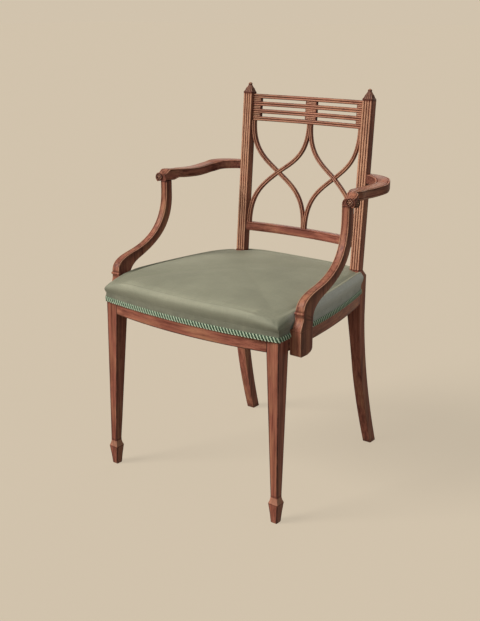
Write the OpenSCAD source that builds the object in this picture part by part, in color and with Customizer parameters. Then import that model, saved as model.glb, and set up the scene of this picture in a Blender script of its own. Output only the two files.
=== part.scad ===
// Open armchair with a lattice back, serpentine arms and a stuff-over seat.
// Millimetres, +Z up. The sitter faces -Y. The origin is on the floor under the middle of the chair.
// The modules draw the right-hand piece of each pair, on the +X side, and the left one is its mirror.
// Inside the modules Y runs back from the front legs' front faces; place() moves it to the origin.

/* [Seat frame] */
// Width over the outer faces of the front legs
seat_front_w = 486; // [466:1:510]
// Width over the outer faces of the back legs at the seat
seat_back_w = 380; // [366:1:394]
// Depth from the front legs' front faces to the back legs' front faces
seat_d = 407; // [385:1:430]
// Height of the rails' undersides above the floor
rail_z = 382; // [365:1:400]
// Height of the rails
rail_h = 52; // [48:1:60]
// Thickness of the rails
rail_t = 22; // [20:0.5:24]
// How far the front rail bows forward
front_bow = 20; // [12:1:26]
// How far each side rail bows outward
side_bow = 12; // [6:1:15]
// Length of the rails' tenons
tenon_l = 14; // [10:0.5:16]
// Thickness of the rails' tenons
tenon_t = 9; // [7:0.5:10]
// Clearance round tenons, dowels and screws
joint_gap = 0.2; // [0.1:0.05:0.3]

/* [Front legs] */
// Width of a front leg at the rail, across the front
front_leg_w = 31; // [29:0.5:36]
// Depth of a front leg at the rail
front_leg_d = 35; // [32:0.5:38]
// Width of the leg at its ankle
ankle_w = 18.5; // [16:0.5:21]
// Height of the ankle
ankle_z = 58; // [50:1:70]
// Width of the spade foot at its widest
spade_w = 22; // [20:0.5:26]
// Height of the spade foot's widest line
spade_z = 45; // [36:1:48]
// Width of the foot on the floor
toe_w = 16.5; // [14:0.5:19]
// How far the ankle's outer faces stand out past the leg's top
front_splay = 2.5; // [0:0.5:5]

/* [Back legs and stiles] */
// Width of a stile, across the front
stile_w = 26; // [24:0.5:28]
// How far the stile steps in from the leg's outer face
stile_step = 7.5; // [5:0.5:9]
// Depth of a stile behind its reeds
stile_d = 17.5; // [16:0.5:20]
// Length of a stile above the seat joint
stile_l = 405; // [375:1:435]
// Height of the shoulder where the leg steps in to the stile
shoulder_z = 450; // [446:1:456]
// Height of the sloped shoulder
shoulder_h = 12; // [8:1:15]
// Lean of the back from upright, in degrees
rake = 4.5; // [2:0.1:6]
// Reeds on a stile's front
reeds = 4; // [3:1:5]
// How far a reed stands proud
reed_out = 3; // [2:0.25:3.5]
// Depth of a back leg at the seat
back_leg_d = 25; // [24:0.5:27]
// Width of a back leg on the floor
heel_w = 21; // [18:0.5:25]
// How far the back foot sweeps behind the leg's top
sweep = 69; // [40:1:85]
// How far the back foot stands out sideways
back_splay = 5; // [0:0.5:8]

/* [Back] */
// How far the back bows behind the stiles at its middle
back_bow = 22; // [12:1:26]
// Set-back of the slats behind the stiles' reeds
slat_set = 6; // [4:0.5:7]
// Height of a crest slat
slat_h = 10.6; // [9:0.2:12]
// Gap between two crest slats
slat_gap = 7.4; // [6:0.2:9]
// Thickness of a crest slat
slat_t = 11; // [9:0.5:12]
// Width of the middle spacers
mid_spacer_w = 31; // [24:1:40]
// Width of the side spacers
side_spacer_w = 20; // [14:1:26]
// Height of the low rail's underside above the shoulder, along the stile
low_rail_up = 65.5; // [45:0.5:85]
// Height of the low rail
low_rail_h = 21; // [18:0.5:26]
// Thickness of the low rail
low_rail_t = 19; // [16:0.5:19]
// Width of a lattice bar
bar_w = 9.5; // [8:0.5:11]
// Thickness of a lattice bar
bar_t = 8.5; // [7:0.5:9]
// Width of the groove along a bar or slat
groove_w = 1.8; // [1.2:0.2:2.4]
// Depth of that groove
groove_d = 1.4; // [0.8:0.2:1.8]
// Distance of a lattice crossing from the chair's middle
cross_x = 81.5; // [74:0.5:88]
// Height of the crossings, as a share of the lattice's height
cross_up = 0.52; // [0.44:0.01:0.58]
// Height of a finial
finial_h = 26; // [20:1:34]

/* [Arms] */
// Height of an arm's underside at its support
arm_z = 656; // [640:1:670]
// Thickness of an arm
arm_t = 20.5; // [18:0.5:23]
// How much higher the arm is at the stile
arm_rise = 12; // [8:1:16]
// Widest width of an arm
arm_w = 34; // [31:0.5:38]
// Distance of the arm's elbow outside the stile
elbow_out = 66; // [60:1:72]
// Distance of the middle of the arm's tip outside the front leg's outer face
tip_out = 20.5; // [18:0.5:23]
// Distance from the front legs' front faces to the arm's tip
arm_tip_y = 217; // [205:1:228]
// Width of an arm's tip
arm_tip_w = 31; // [29:0.5:34]
// Width of the arm support at its foot block, over the leg's outer face
block_out = 27.5; // [25:0.5:30]
// Depth of the foot block
block_d = 45; // [42:1:50]
// Height of the foot block's top
block_top = 428; // [422:1:432]
// Height of the bead round the support's neck
collar_z = 461; // [454:1:468]
// Width of the support at the arm
support_w = 19; // [17:0.5:22]
// Thickness of the support at the arm, front to back
support_d = 20; // [17:0.5:23]
// Diameter of a rosette
rosette_d = 19; // [15:0.5:20]
// Thickness of a rosette
rosette_t = 2.4; // [1.5:0.1:3]

/* [Upholstery] */
// Height of the cover's lower edge
hem_z = 409.5; // [404:0.5:414]
// Thickness of the cover
cloth_t = 1.2; // [1:0.1:2]
// Height of the seat's crown at its middle
crown_z = 483; // [474:1:490]
// Height of the braid
gimp_h = 11.5; // [9:0.5:13]
// Thickness of the braid
gimp_t = 1.8; // [1.6:0.1:3]
// Width of the webbing
web_w = 50; // [40:1:56]
// Thickness of the webbing
web_t = 1.2; // [0.8:0.1:1.6]

/* [Hidden] */

$fn = 64;
mahogany = [0.55, 0.30, 0.22];
mahogany_dark = [0.42, 0.22, 0.17];
beech = [0.76, 0.62, 0.42];
steel = [0.62, 0.62, 0.64];
jute = [0.72, 0.60, 0.42];
hair = [0.28, 0.22, 0.17];
green = [0.48, 0.50, 0.40];
braid_green = [0.50, 0.68, 0.56];

// Cuts run this far past the faces that they open
past = 1;
big = 900;

// Frame
rail_top = rail_z + rail_h;
leg_x = seat_front_w / 2;
leg_in_x = leg_x - front_leg_w;
back_x = seat_back_w / 2;
stile_out_x = back_x - stile_step;
stile_in_x = stile_out_x - stile_w;
back_leg_in_x = stile_in_x;
// Height of the shoulders above and below the seat rails' tenons
tenon_shoulder = 7;
front_r = (pow(leg_in_x, 2) + pow(front_bow, 2)) / (2 * front_bow);
front_c = front_r - front_bow;
// The side rail's outer face is an arc from the front leg's back outer corner to the back leg
side_a = [leg_x, front_leg_d];
side_b = [back_x, seat_d];
side_len = norm(side_b - side_a);
side_along = (side_b - side_a) / side_len;
side_out = [side_along[1], -side_along[0]];
side_r = (pow(side_len / 2, 2) + pow(side_bow, 2)) / (2 * side_bow);
side_c = (side_a + side_b) / 2 + side_out * (side_bow - side_r);
// Set-back of the back rail behind the back legs' front faces
back_rail_set = 1.5;
back_rail_y = seat_d + back_rail_set;
seat_back_y = back_rail_y + rail_t;

// The leaning plane of the back starts at the shoulder, on the back legs' front faces
pivot_z = shoulder_z;
stile_full_d = stile_d + reed_out;
arm_join_up = (arm_z + arm_rise + arm_t / 2 - pivot_z) / cos(rake);
arm_join_y = seat_d + arm_join_up * sin(rake) + stile_full_d / 2;
arm_join_z = arm_z + arm_rise + arm_t / 2;
chord = stile_in_x;
back_r = (pow(chord, 2) + pow(back_bow, 2)) / (2 * back_bow);
slats = 4;
crest_h = slats * slat_h + (slats - 1) * slat_gap;
// The top slat lies this far below the stiles' tops
crest_drop = 1;
crest_up = stile_l - crest_drop - crest_h;
low_rail_top = low_rail_up + low_rail_h;
// Set-back of the low rail behind the reeds, and how far the bars stand in front of the slats
low_rail_set = 1;
bar_proud = 1.5;
bar_set = slat_set - bar_proud;
// Length, depth and height of a slat's tenon, and width, depth and height of a bar's peg
slat_tenon = [7, 6, 6];
peg = [5, 5, 6];

// Clearance between the cover and what it lies on
cloth_gap = 0.15;

// Overall depth sets the origin
heel_y = seat_d + sweep + back_leg_d;
nose_y = -front_bow - cloth_t - 2 * cloth_gap - gimp_t;
mid_y = (heel_y + nose_y) / 2;

// Small helpers
function lerp(a, b, t) = a + (b - a) * t;
function unit(v) = v / norm(v);
function reversed(v) = [for (i = [len(v) - 1 : -1 : 0]) v[i]];
function bez(p, t) =
    pow(1 - t, 3) * p[0] + 3 * pow(1 - t, 2) * t * p[1] + 3 * (1 - t) * t * t * p[2] + pow(t, 3) * p[3];
function curve(p, n) = [for (i = [0 : n]) bez(p, i / n)];
// A smooth line through points: Catmull-Rom, n steps to each span
function span_at(a, b, c, d, t) =
    0.5 * (2 * b + (c - a) * t + (2 * a - 5 * b + 4 * c - d) * t * t + (3 * b - a - 3 * c + d) * pow(t, 3));
function through(p, n) = concat(
    [for (i = [0 : len(p) - 2], k = [0 : n - 1])
        span_at(p[max(i - 1, 0)], p[i], p[i + 1], p[min(i + 2, len(p) - 1)], k / n)],
    [p[len(p) - 1]]
);
function heading(path, i) =
    let (d = path[min(i + 1, len(path) - 1)] - path[max(i - 1, 0)]) unit([d[0], d[1]]);
function beside(path, i, off) =
    let (d = heading(path, i)) [path[i][0] - d[1] * off, path[i][1] + d[0] * off];
// A strip of width w along a path; a path point may carry its own width as a third number
function strip(path, w) = concat(
    [for (i = [0 : len(path) - 1]) beside(path, i, w / 2)],
    [for (i = [len(path) - 1 : -1 : 0]) beside(path, i, -w / 2)]
);
function own_strip(path) = concat(
    [for (i = [0 : len(path) - 1]) beside(path, i, path[i][2] / 2)],
    [for (i = [len(path) - 1 : -1 : 0]) beside(path, i, -path[i][2] / 2)]
);

module place() {
    translate([0, -mid_y, 0])
        children();
}

module mirrored() {
    mirror([1, 0, 0])
        children();
}

module lean() {
    translate([0, seat_d, pivot_z])
        rotate([-rake, 0, 0])
            children();
}

// A plate whose outline is drawn in X and Z, from y0 to y1
module plate_xz(outline, y0, y1) {
    translate([0, y1, 0])
        rotate([90, 0, 0])
            linear_extrude(y1 - y0)
                polygon(outline);
}

// A plate whose outline is drawn in Y and Z, from x0 to x1
module plate_yz(outline, x0, x1) {
    translate([x0, 0, 0])
        rotate([90, 0, 90])
            linear_extrude(x1 - x0)
                polygon(outline);
}

module box(x, y, z) {
    translate([x[0], y[0], z[0]])
        cube([x[1] - x[0], y[1] - y[0], z[1] - z[0]]);
}

// Front legs: square, tapered on the inside faces, with a spade foot
foot_mid = ankle_w / 2 - front_splay;
// Height of each of the two bends between the ankle and the spade's widest line
flare = 4;

// One face of the leg, measured inward from its outer edge
function leg_face(w) = let (
    outer = curve([
        [foot_mid - ankle_w / 2, ankle_z],
        [foot_mid - ankle_w / 2, ankle_z - flare],
        [foot_mid - spade_w / 2, spade_z + flare],
        [foot_mid - spade_w / 2, spade_z]
    ], 4),
    inner = [for (p = reversed(outer)) [2 * foot_mid - p[0], p[1]]]
) concat(
    [[0, rail_top], [0, rail_z]],
    outer,
    [[foot_mid - toe_w / 2, 0], [foot_mid + toe_w / 2, 0]],
    inner,
    [[w, rail_z], [w, rail_top]]
);

module front_leg_right() {
    place()
        color(mahogany)
            difference() {
                intersection() {
                    translate([leg_x, 0, 0])
                        mirror([1, 0, 0])
                            plate_xz(leg_face(front_leg_w), -spade_w, front_leg_d + spade_w);
                    plate_yz(leg_face(front_leg_d), leg_in_x - spade_w, leg_x + spade_w);
                }
                front_tenon(joint_gap);
                side_tenon_front(joint_gap);
            }
}

module front_leg_left() {
    mirrored()
        front_leg_right();
}

// Rail tenons; grow is the clearance of the mortise round them
tenon_z = [rail_z + tenon_shoulder, rail_top - tenon_shoulder];
// The front tenons lie this far forward of the rail's middle, because the rail bows forward
bow_shift = 2;

module tenon(x, y, grow) {
    box([x[0] - grow, x[1] + grow], [y[0] - grow, y[1] + grow], [tenon_z[0] - grow, tenon_z[1] + grow]);
}

module front_tenon(grow) {
    y0 = (rail_t - tenon_t) / 2 - bow_shift;
    tenon([leg_in_x - past, leg_in_x + tenon_l], [y0, y0 + tenon_t], grow);
}

module side_tenon_front(grow) {
    x1 = leg_x - (rail_t - tenon_t) / 2;
    tenon([x1 - tenon_t, x1], [front_leg_d - tenon_l, front_leg_d + past], grow);
}

module side_tenon_back(grow) {
    x1 = back_x - (rail_t - tenon_t) / 2;
    tenon([x1 - tenon_t, x1], [seat_d - past, seat_d + tenon_l], grow);
}

module back_tenon(grow) {
    y0 = back_rail_y + (rail_t - tenon_t) / 2;
    tenon([back_leg_in_x - past, back_leg_in_x + tenon_l], [y0, y0 + tenon_t], grow);
}

// Back legs: a sabre leg below the seat and a reeded stile above it
// The leg is straight down to leg_turn_z, and thins on its inner side down to knee_z by knee_in
leg_turn_z = rail_z - 32;
knee_z = leg_turn_z - 145;
knee_in = 10;
// How slowly the sweep sets in
sweep_ease = 1.7;
steps = 14;

function sabre_y(z) = z >= leg_turn_z ? 0 : sweep * pow((leg_turn_z - z) / leg_turn_z, sweep_ease);
function leg_in(z) =
    z >= leg_turn_z ? 0 :
    z >= knee_z ? knee_in * (1 - pow((z - knee_z) / (leg_turn_z - knee_z), 2)) :
    lerp(back_x + back_splay - heel_w - back_leg_in_x, knee_in, z / knee_z);

sabre_side = concat(
    [for (i = [0 : steps]) let (z = leg_turn_z * i / steps) [seat_d + sabre_y(z), z]],
    [[seat_d, shoulder_z + shoulder_h], [seat_d + stile_full_d, shoulder_z + shoulder_h],
        [seat_d + back_leg_d, shoulder_z]],
    [for (i = [steps : -1 : 0]) let (z = leg_turn_z * i / steps) [seat_d + back_leg_d + sabre_y(z), z]]
);
sabre_front = concat(
    [for (i = [0 : steps]) let (z = leg_turn_z * i / steps) [back_leg_in_x + leg_in(z), z]],
    [[back_leg_in_x, shoulder_z + shoulder_h], [stile_out_x, shoulder_z + shoulder_h], [back_x, shoulder_z],
        [back_x, leg_turn_z], [back_x + back_splay, 0]]
);

// Reeds a little wider than their pitch meet in a sharp quirk
module reeded_section() {
    pitch = stile_w / reeds;
    reed_r = pitch * 0.52;
    translate([stile_in_x, reed_out])
        square([stile_w, stile_d]);
    intersection() {
        translate([stile_in_x, 0])
            square([stile_w, reed_out + past]);
        for (i = [0 : reeds - 1])
            translate([stile_in_x + pitch * (i + 0.5), reed_r])
                circle(r = reed_r);
    }
}

module back_leg_right() {
    place()
        color(mahogany)
            difference() {
                union() {
                    intersection() {
                        plate_yz(sabre_side, stile_in_x - 10, back_x + 20);
                        plate_xz(sabre_front, seat_d - 10, heel_y + 10);
                    }
                    lean()
                        linear_extrude(stile_l)
                            reeded_section();
                }
                side_tenon_back(joint_gap);
                back_tenon(joint_gap);
                lean() {
                    finial_dowel(joint_gap);
                    low_rail_tenon(joint_gap);
                    for (n = [0 : slats - 1])
                        slat_tenon_right(n, joint_gap);
                }
                arm_screw(joint_gap);
            }
}

module back_leg_left() {
    mirrored()
        back_leg_right();
}

// Finials: square and bell-shaped, dowelled into the stiles' tops
// Points of the bell: share of the height, share of the width
finial_shape = [
    [0, 1], [0.08, 1], [0.13, 0.93], [0.22, 0.8], [0.34, 0.62], [0.46, 0.53], [0.58, 0.49], [0.68, 0.42],
    [0.76, 0.31], [0.82, 0.25], [0.88, 0.27], [0.94, 0.22], [0.985, 0.12], [1, 0.04]
];

function finial_outline(w) = concat(
    [for (p = finial_shape) [p[1] * w / 2, p[0] * finial_h]],
    [for (p = reversed(finial_shape)) [-p[1] * w / 2, p[0] * finial_h]]
);
finial_x = (stile_in_x + stile_out_x) / 2;
finial_y = stile_full_d / 2;
dowel_d = 8;
dowel_l = 14;

module finial_dowel(grow) {
    translate([finial_x, finial_y, stile_l - dowel_l - grow])
        cylinder(d = dowel_d + 2 * grow, h = dowel_l + 2 * grow + past);
}

module finial_right() {
    place()
        color(mahogany_dark)
            lean() {
                translate([finial_x, finial_y, stile_l])
                    intersection() {
                        plate_xz(finial_outline(stile_w), -stile_w, stile_w);
                        plate_yz(finial_outline(stile_full_d), -stile_w, stile_w);
                    }
                finial_dowel(0);
            }
}

module finial_left() {
    mirrored()
        finial_right();
}

// Rails of the seat frame
module front_rail() {
    place()
        color(mahogany)
            difference() {
                union() {
                    intersection() {
                        box([-leg_in_x, leg_in_x], [-front_bow - past, leg_in_x], [rail_z, rail_top]);
                        translate([0, front_c, rail_z])
                            difference() {
                                cylinder(r = front_r, h = rail_h, $fn = 200);
                                translate([0, 0, -past])
                                    cylinder(r = front_r - rail_t, h = rail_h + 2 * past, $fn = 200);
                            }
                    }
                    front_tenon(0);
                    mirrored()
                        front_tenon(0);
                }
                block_screws(joint_gap);
                mirrored()
                    block_screws(joint_gap);
                web_tacks(joint_gap);
            }
}

module side_ring(inset, h) {
    translate([side_c[0], side_c[1], 0])
        cylinder(r = side_r - inset, h = h, $fn = 240);
}

module side_rail_right() {
    place()
        color(mahogany)
            difference() {
                union() {
                    intersection() {
                        box([0, leg_x + side_bow + past], [front_leg_d, seat_d], [rail_z, rail_top]);
                        difference() {
                            side_ring(0, rail_top);
                            translate([0, 0, -past])
                                side_ring(rail_t, rail_top + 2 * past);
                        }
                    }
                    side_tenon_front(0);
                    side_tenon_back(0);
                }
                block_screws(joint_gap);
                back_block_screws(joint_gap);
                support_screws(joint_gap);
                web_tacks(joint_gap);
            }
}

module side_rail_left() {
    mirrored()
        side_rail_right();
}

module back_rail() {
    place()
        color(beech)
            difference() {
                union() {
                    box([-back_leg_in_x, back_leg_in_x], [back_rail_y, seat_back_y], [rail_z, rail_top]);
                    back_tenon(0);
                    mirrored()
                        back_tenon(0);
                }
                back_block_screws(joint_gap);
                mirrored()
                    back_block_screws(joint_gap);
                web_tacks(joint_gap);
            }
}

// Corner blocks and their screws
// Reach of a block along each rail, and the thickness of the back blocks' wings at the back rail
block_wing = 46;
wing_t = 12;
block_h = 22;
block_z = rail_z + 4;
screw_d = 4;
screw_head_d = 7.5;
screw_head_h = 3;
screw_l = 26;
// A block's two screws pass each other at different heights
side_screw_z = block_z + 0.3 * block_h;
end_screw_z = block_z + 0.7 * block_h;

// A countersunk wood screw along +X with its head's face at the origin
module screw(l, grow) {
    rotate([0, 90, 0]) {
        translate([0, 0, -grow])
            cylinder(d = screw_head_d + 2 * grow, h = screw_head_h + grow);
        cylinder(d = screw_d + 2 * grow, h = l + grow);
    }
}

// The same with the driver's way to the head, for the pieces that it passes through
module screw_or_hole(l, way, grow) {
    screw(l, grow);
    if (grow > 0)
        rotate([0, -90, 0])
            cylinder(d = screw_head_d + 2 * grow, h = way);
}

// Places of the blocks' screws, from the legs' faces
block_screw_x = leg_in_x - 12;
block_screw_y = front_leg_d + 14;
back_screw_x = back_leg_in_x - 16;
back_screw_y = seat_d - 16;
// The heads lie this far in from the rails' inner faces
head_set = 9;

function side_x(y, d) = side_c[0] + sqrt(pow(side_r + d, 2) - pow(y - side_c[1], 2));

module block_screws(grow) {
    translate([block_screw_x, rail_t + head_set, end_screw_z])
        rotate([0, 0, -90])
            screw_or_hole(screw_l, block_wing, grow);
    translate([side_x(block_screw_y, -rail_t) - head_set, block_screw_y, side_screw_z])
        screw_or_hole(screw_l, block_wing, grow);
}

module back_block_screws(grow) {
    translate([back_screw_x, back_rail_y - head_set, end_screw_z])
        rotate([0, 0, 90])
            screw_or_hole(screw_l, block_wing, grow);
    translate([side_x(back_screw_y, -rail_t) - head_set, back_screw_y, side_screw_z])
        screw_or_hole(screw_l, block_wing, grow);
}

module front_corner_block_right() {
    place()
        color(beech)
            difference() {
                intersection() {
                    translate([0, 0, block_z])
                        linear_extrude(block_h)
                            polygon([
                                [leg_x, 0], [leg_x, front_leg_d + block_wing],
                                [leg_in_x, front_leg_d + block_wing],
                                [leg_in_x - block_wing, rail_t], [leg_in_x - block_wing, 0]
                            ]);
                    translate([0, front_c, 0])
                        cylinder(r = front_r - rail_t, h = rail_top, $fn = 200);
                    side_ring(rail_t, rail_top);
                }
                box([leg_in_x, leg_x + past], [-past, front_leg_d], [0, rail_top]);
                block_screws(joint_gap);
            }
}

module front_corner_block_left() {
    mirrored()
        front_corner_block_right();
}

module back_corner_block_right() {
    place()
        color(beech)
            difference() {
                intersection() {
                    translate([0, 0, block_z])
                        linear_extrude(block_h)
                            polygon([
                                [back_x, back_rail_y], [back_x, seat_d - block_wing],
                                [back_leg_in_x, seat_d - block_wing],
                                [back_leg_in_x - block_wing, seat_d - wing_t],
                                [back_leg_in_x - block_wing, back_rail_y]
                            ]);
                    side_ring(rail_t, rail_top);
                }
                box([back_leg_in_x, back_x + past], [seat_d, seat_back_y], [0, rail_top]);
                back_block_screws(joint_gap);
            }
}

module back_corner_block_left() {
    mirrored()
        back_corner_block_right();
}

module corner_block_screws() {
    place()
        color(steel) {
            block_screws(0);
            back_block_screws(0);
            mirrored() {
                block_screws(0);
                back_block_screws(0);
            }
        }
}

// Crest: four reeded slats and nine spacers, bowed in plan, in the leaning plane of the back
module back_shell(front, thick, up, h) {
    translate([0, front + back_bow - back_r, up])
        difference() {
            cylinder(r = back_r + thick, h = h, $fn = 240);
            translate([0, 0, -past])
                cylinder(r = back_r, h = h + 2 * past, $fn = 240);
        }
}

function slat_up(n) = crest_up + (slats - 1 - n) * (slat_h + slat_gap);

module slat_tenon_right(n, grow) {
    y = slat_set + slat_t / 2;
    z = slat_up(n) + slat_h / 2;
    box([stile_in_x - past, stile_in_x + slat_tenon[0] + grow],
        [y - slat_tenon[1] / 2 - grow, y + slat_tenon[1] / 2 + grow],
        [z - slat_tenon[2] / 2 - grow, z + slat_tenon[2] / 2 + grow]);
}

module crest_slat(n) {
    groove_up = slat_up(n) + (slat_h - groove_w) / 2;
    place()
        color(mahogany)
            lean()
                difference() {
                    union() {
                        intersection() {
                            back_shell(slat_set, slat_t, slat_up(n), slat_h);
                            box([-stile_in_x, stile_in_x], [0, big], [0, stile_l]);
                        }
                        slat_tenon_right(n, 0);
                        mirrored()
                            slat_tenon_right(n, 0);
                    }
                    back_shell(slat_set - past, groove_d + past, groove_up, groove_w);
                    if (n == slats - 1)
                        bar_pegs(joint_gap);
                }
}

module crest_slat_1() { crest_slat(0); }
module crest_slat_2() { crest_slat(1); }
module crest_slat_3() { crest_slat(2); }
module crest_slat_4() { crest_slat(3); }

// One column of spacers between x0 and x1, set back from the slats' faces, with a bead along each
spacer_set = 1.5;

module spacers(x0, x1) {
    spacer_bead_r = slat_gap * 0.32;
    lean()
        for (n = [1 : slats - 1])
            intersection() {
                union() {
                    back_shell(slat_set + spacer_set, slat_t - 2 * spacer_set, slat_up(n) + slat_h, slat_gap);
                    translate([0, slat_set + back_bow - back_r, slat_up(n) + slat_h + slat_gap / 2])
                        rotate_extrude($fn = 240)
                            translate([back_r + spacer_set, 0])
                                circle(r = spacer_bead_r, $fn = 32);
                }
                box([x0, x1], [0, big], [0, stile_l]);
            }
}

module crest_spacers_middle() {
    place()
        color(mahogany)
            spacers(-mid_spacer_w / 2, mid_spacer_w / 2);
}

module crest_spacers_right() {
    place()
        color(mahogany)
            spacers(stile_in_x - side_spacer_w, stile_in_x);
}

module crest_spacers_left() {
    mirrored()
        crest_spacers_right();
}

// Lattice: each half has two S-shaped bars, half-lapped where they cross
lattice_h = crest_up - low_rail_top;
cross_z = low_rail_top + lattice_h * cross_up;
// Middle lines of the bars' upright ends, beside the chair's middle and beside the stile
bar_mid_x = 2.5;
bar_side_x = stile_in_x - bar_w / 2;
bar_steps = 12;

// Half of a bar, from the crossing to an end whose last stretch is upright
function half_bar(x_end, z_end) = let (dx = x_end - cross_x, dz = z_end - cross_z) curve([
    [cross_x, cross_z],
    [cross_x + dx * 0.56, cross_z + dz * 0.25],
    [x_end, cross_z + dz * 0.42],
    [x_end, z_end]
], bar_steps);

function bar_path(x_low, x_high) = concat(
    reversed(half_bar(x_low, low_rail_top)),
    [for (i = [1 : bar_steps]) half_bar(x_high, crest_up)[i]]
);

// falling: from the middle at the bottom to the stile at the top
falling = bar_path(bar_mid_x, bar_side_x);
rising = bar_path(bar_side_x, bar_mid_x);

module bar_body(path, w, front, thick) {
    intersection() {
        back_shell(front, thick, low_rail_top, lattice_h);
        plate_xz(strip(path, w), 0, back_bow + bar_set + bar_t + 5 * past);
    }
}

// Pegs at the bars' ends, into the low rail and the lowest slat
module peg_box(x, grow) {
    y = bar_set + bar_t / 2 + back_bow * (1 - pow(x / chord, 2));
    for (z = [low_rail_top - peg[2], crest_up - past])
        box([x - peg[0] / 2 - grow, x + peg[0] / 2 + grow],
            [y - peg[1] / 2 - grow, y + peg[1] / 2 + grow],
            [z - grow, z + peg[2] + past + grow]);
}

// The pegs keep clear of the chair's middle and of the stile
peg_mid_x = peg[0] / 2 + 1;
peg_side_x = stile_in_x - peg[0] / 2 - 1.5;

module bar_pegs(grow) {
    for (side = [-1, 1], x = [peg_mid_x, peg_side_x])
        peg_box(side * x, grow);
}

// lap takes the front (0) or the back (1) half of the bar's thickness away at the crossing
module lattice_bar(path, other, lap, x_low, x_high) {
    place()
        color(mahogany)
            lean() {
                difference() {
                    intersection() {
                        bar_body(path, bar_w, bar_set, bar_t);
                        box([0.1, stile_in_x], [0, big], [0, stile_l]);
                    }
                    bar_body(path, groove_w, bar_set - past, groove_d + past);
                    intersection() {
                        bar_body(other, bar_w + 2 * joint_gap, bar_set + lap * bar_t / 2 - past,
                            bar_t / 2 + past + (lap > 0 ? past : joint_gap));
                        box([cross_x - 2 * bar_w, cross_x + 2 * bar_w], [0, big],
                            [cross_z - 2 * bar_w, cross_z + 2 * bar_w]);
                    }
                }
                intersection() {
                    peg_box(x_low, 0);
                    box([0, stile_in_x], [0, big], [0, low_rail_top]);
                }
                intersection() {
                    peg_box(x_high, 0);
                    box([0, stile_in_x], [0, big], [crest_up, stile_l]);
                }
            }
}

module lattice_bar_1() { lattice_bar(falling, rising, 0, peg_mid_x, peg_side_x); }
module lattice_bar_2() { lattice_bar(rising, falling, 1, peg_side_x, peg_mid_x); }

module lattice_bar_3() {
    mirrored()
        lattice_bar_1();
}

module lattice_bar_4() {
    mirrored()
        lattice_bar_2();
}

// Low rail of the back
low_tenon_shoulder = 4;

module low_rail_tenon(grow) {
    y = low_rail_set + low_rail_t / 2;
    box([stile_in_x - past, stile_in_x + tenon_l + grow],
        [y - tenon_t / 2 - grow, y + tenon_t / 2 + grow],
        [low_rail_up + low_tenon_shoulder - grow, low_rail_top - low_tenon_shoulder + grow]);
}

module low_rail() {
    place()
        color(mahogany)
            lean()
                difference() {
                    union() {
                        intersection() {
                            back_shell(low_rail_set, low_rail_t, low_rail_up, low_rail_h);
                            box([-stile_in_x, stile_in_x], [0, big], [0, stile_l]);
                        }
                        low_rail_tenon(0);
                        mirrored()
                            low_rail_tenon(0);
                    }
                    bar_pegs(joint_gap);
                }
}

// Arms: serpentine in plan, lower at the front than at the stile
arm_x = stile_out_x + elbow_out;
tip_x = leg_x + tip_out;

// Points of the arm's middle line, from the stile to the tip: place sideways, place back and width
arm_route = [
    [stile_out_x - 12, arm_join_y, stile_full_d],
    [stile_out_x + 4, arm_join_y, stile_full_d],
    [stile_out_x + 0.4 * elbow_out, arm_join_y - 8, lerp(stile_full_d, arm_w, 0.55)],
    [arm_x - 15, arm_join_y - 26, lerp(stile_full_d, arm_w, 0.9)],
    [arm_x, arm_join_y - 54, arm_w],
    [arm_x - 1.5, arm_join_y - 90, arm_w],
    [arm_x - 4, arm_join_y - 125, arm_w],
    [arm_x - 3, arm_tip_y + 73, arm_w],
    [arm_x + 0.5, arm_tip_y + 55, arm_w - 1],
    [arm_x + 5, arm_tip_y + 39, arm_w - 6],
    [tip_x - 3, arm_tip_y + 28, arm_w - 7],
    [tip_x, arm_tip_y + 17, arm_tip_w],
    [tip_x, arm_tip_y + 6, arm_tip_w],
    [tip_x, arm_tip_y - 6, arm_tip_w]
];

// The arm's top and underside, seen from the side
arm_top = through([
    [arm_tip_y, arm_z + arm_t - 4], [arm_tip_y + 4, arm_z + arm_t - 1],
    [arm_tip_y + 12, arm_z + arm_t + 2], [arm_tip_y + 26, arm_z + arm_t + 4.5],
    [arm_tip_y + 70, arm_z + arm_t + 3], [arm_join_y - 105, arm_z + arm_t + 2.5],
    [arm_join_y - 55, arm_z + arm_t + 0.42 * arm_rise], [arm_join_y - 30, arm_z + arm_t + 0.85 * arm_rise],
    [arm_join_y + stile_full_d, arm_z + arm_t + arm_rise]
], 5);
// The underside is flat over the support and a little way behind it
flat_under = support_d + 9;
arm_under = [for (p = arm_top)
    [max(p[0], arm_tip_y), p[0] < arm_tip_y + flat_under ? arm_z : p[1] - arm_t]];

// The tip's inner upper corner is rounded away, in a step on the arm's inner side
tip_round_r = 15;
tip_round_d = 12;
tip_round_z = arm_z + arm_t - 2 - tip_round_r;

module tip_corner() {
    y = [arm_tip_y - past, arm_tip_y + tip_round_d];
    x0 = tip_x - arm_tip_w / 2;
    difference() {
        box([x0 - past, x0 + tip_round_r], y, [tip_round_z, arm_z + 2 * arm_t]);
        translate([x0 + tip_round_r, y[0] - past, tip_round_z])
            rotate([-90, 0, 0])
                cylinder(r = tip_round_r, h = tip_round_d + 4 * past);
    }
}

module arm_right() {
    place()
        color(mahogany)
            difference() {
                intersection() {
                    translate([0, 0, arm_z - arm_t])
                        linear_extrude(3 * arm_t + arm_rise)
                            polygon(own_strip(through(arm_route, 6)));
                    plate_yz(concat(arm_top, reversed(arm_under)), 0, tip_x + arm_tip_w / 2);
                }
                box([0, stile_out_x], [arm_tip_y, heel_y], [arm_z - arm_t, arm_z + 3 * arm_t]);
                tip_corner();
                support_tenon(joint_gap);
                arm_screw(joint_gap);
            }
}

module arm_left() {
    mirrored()
        arm_right();
}

arm_screw_l = 46;
// Depth of the head below the stile's inner face
arm_screw_set = 6;

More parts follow.
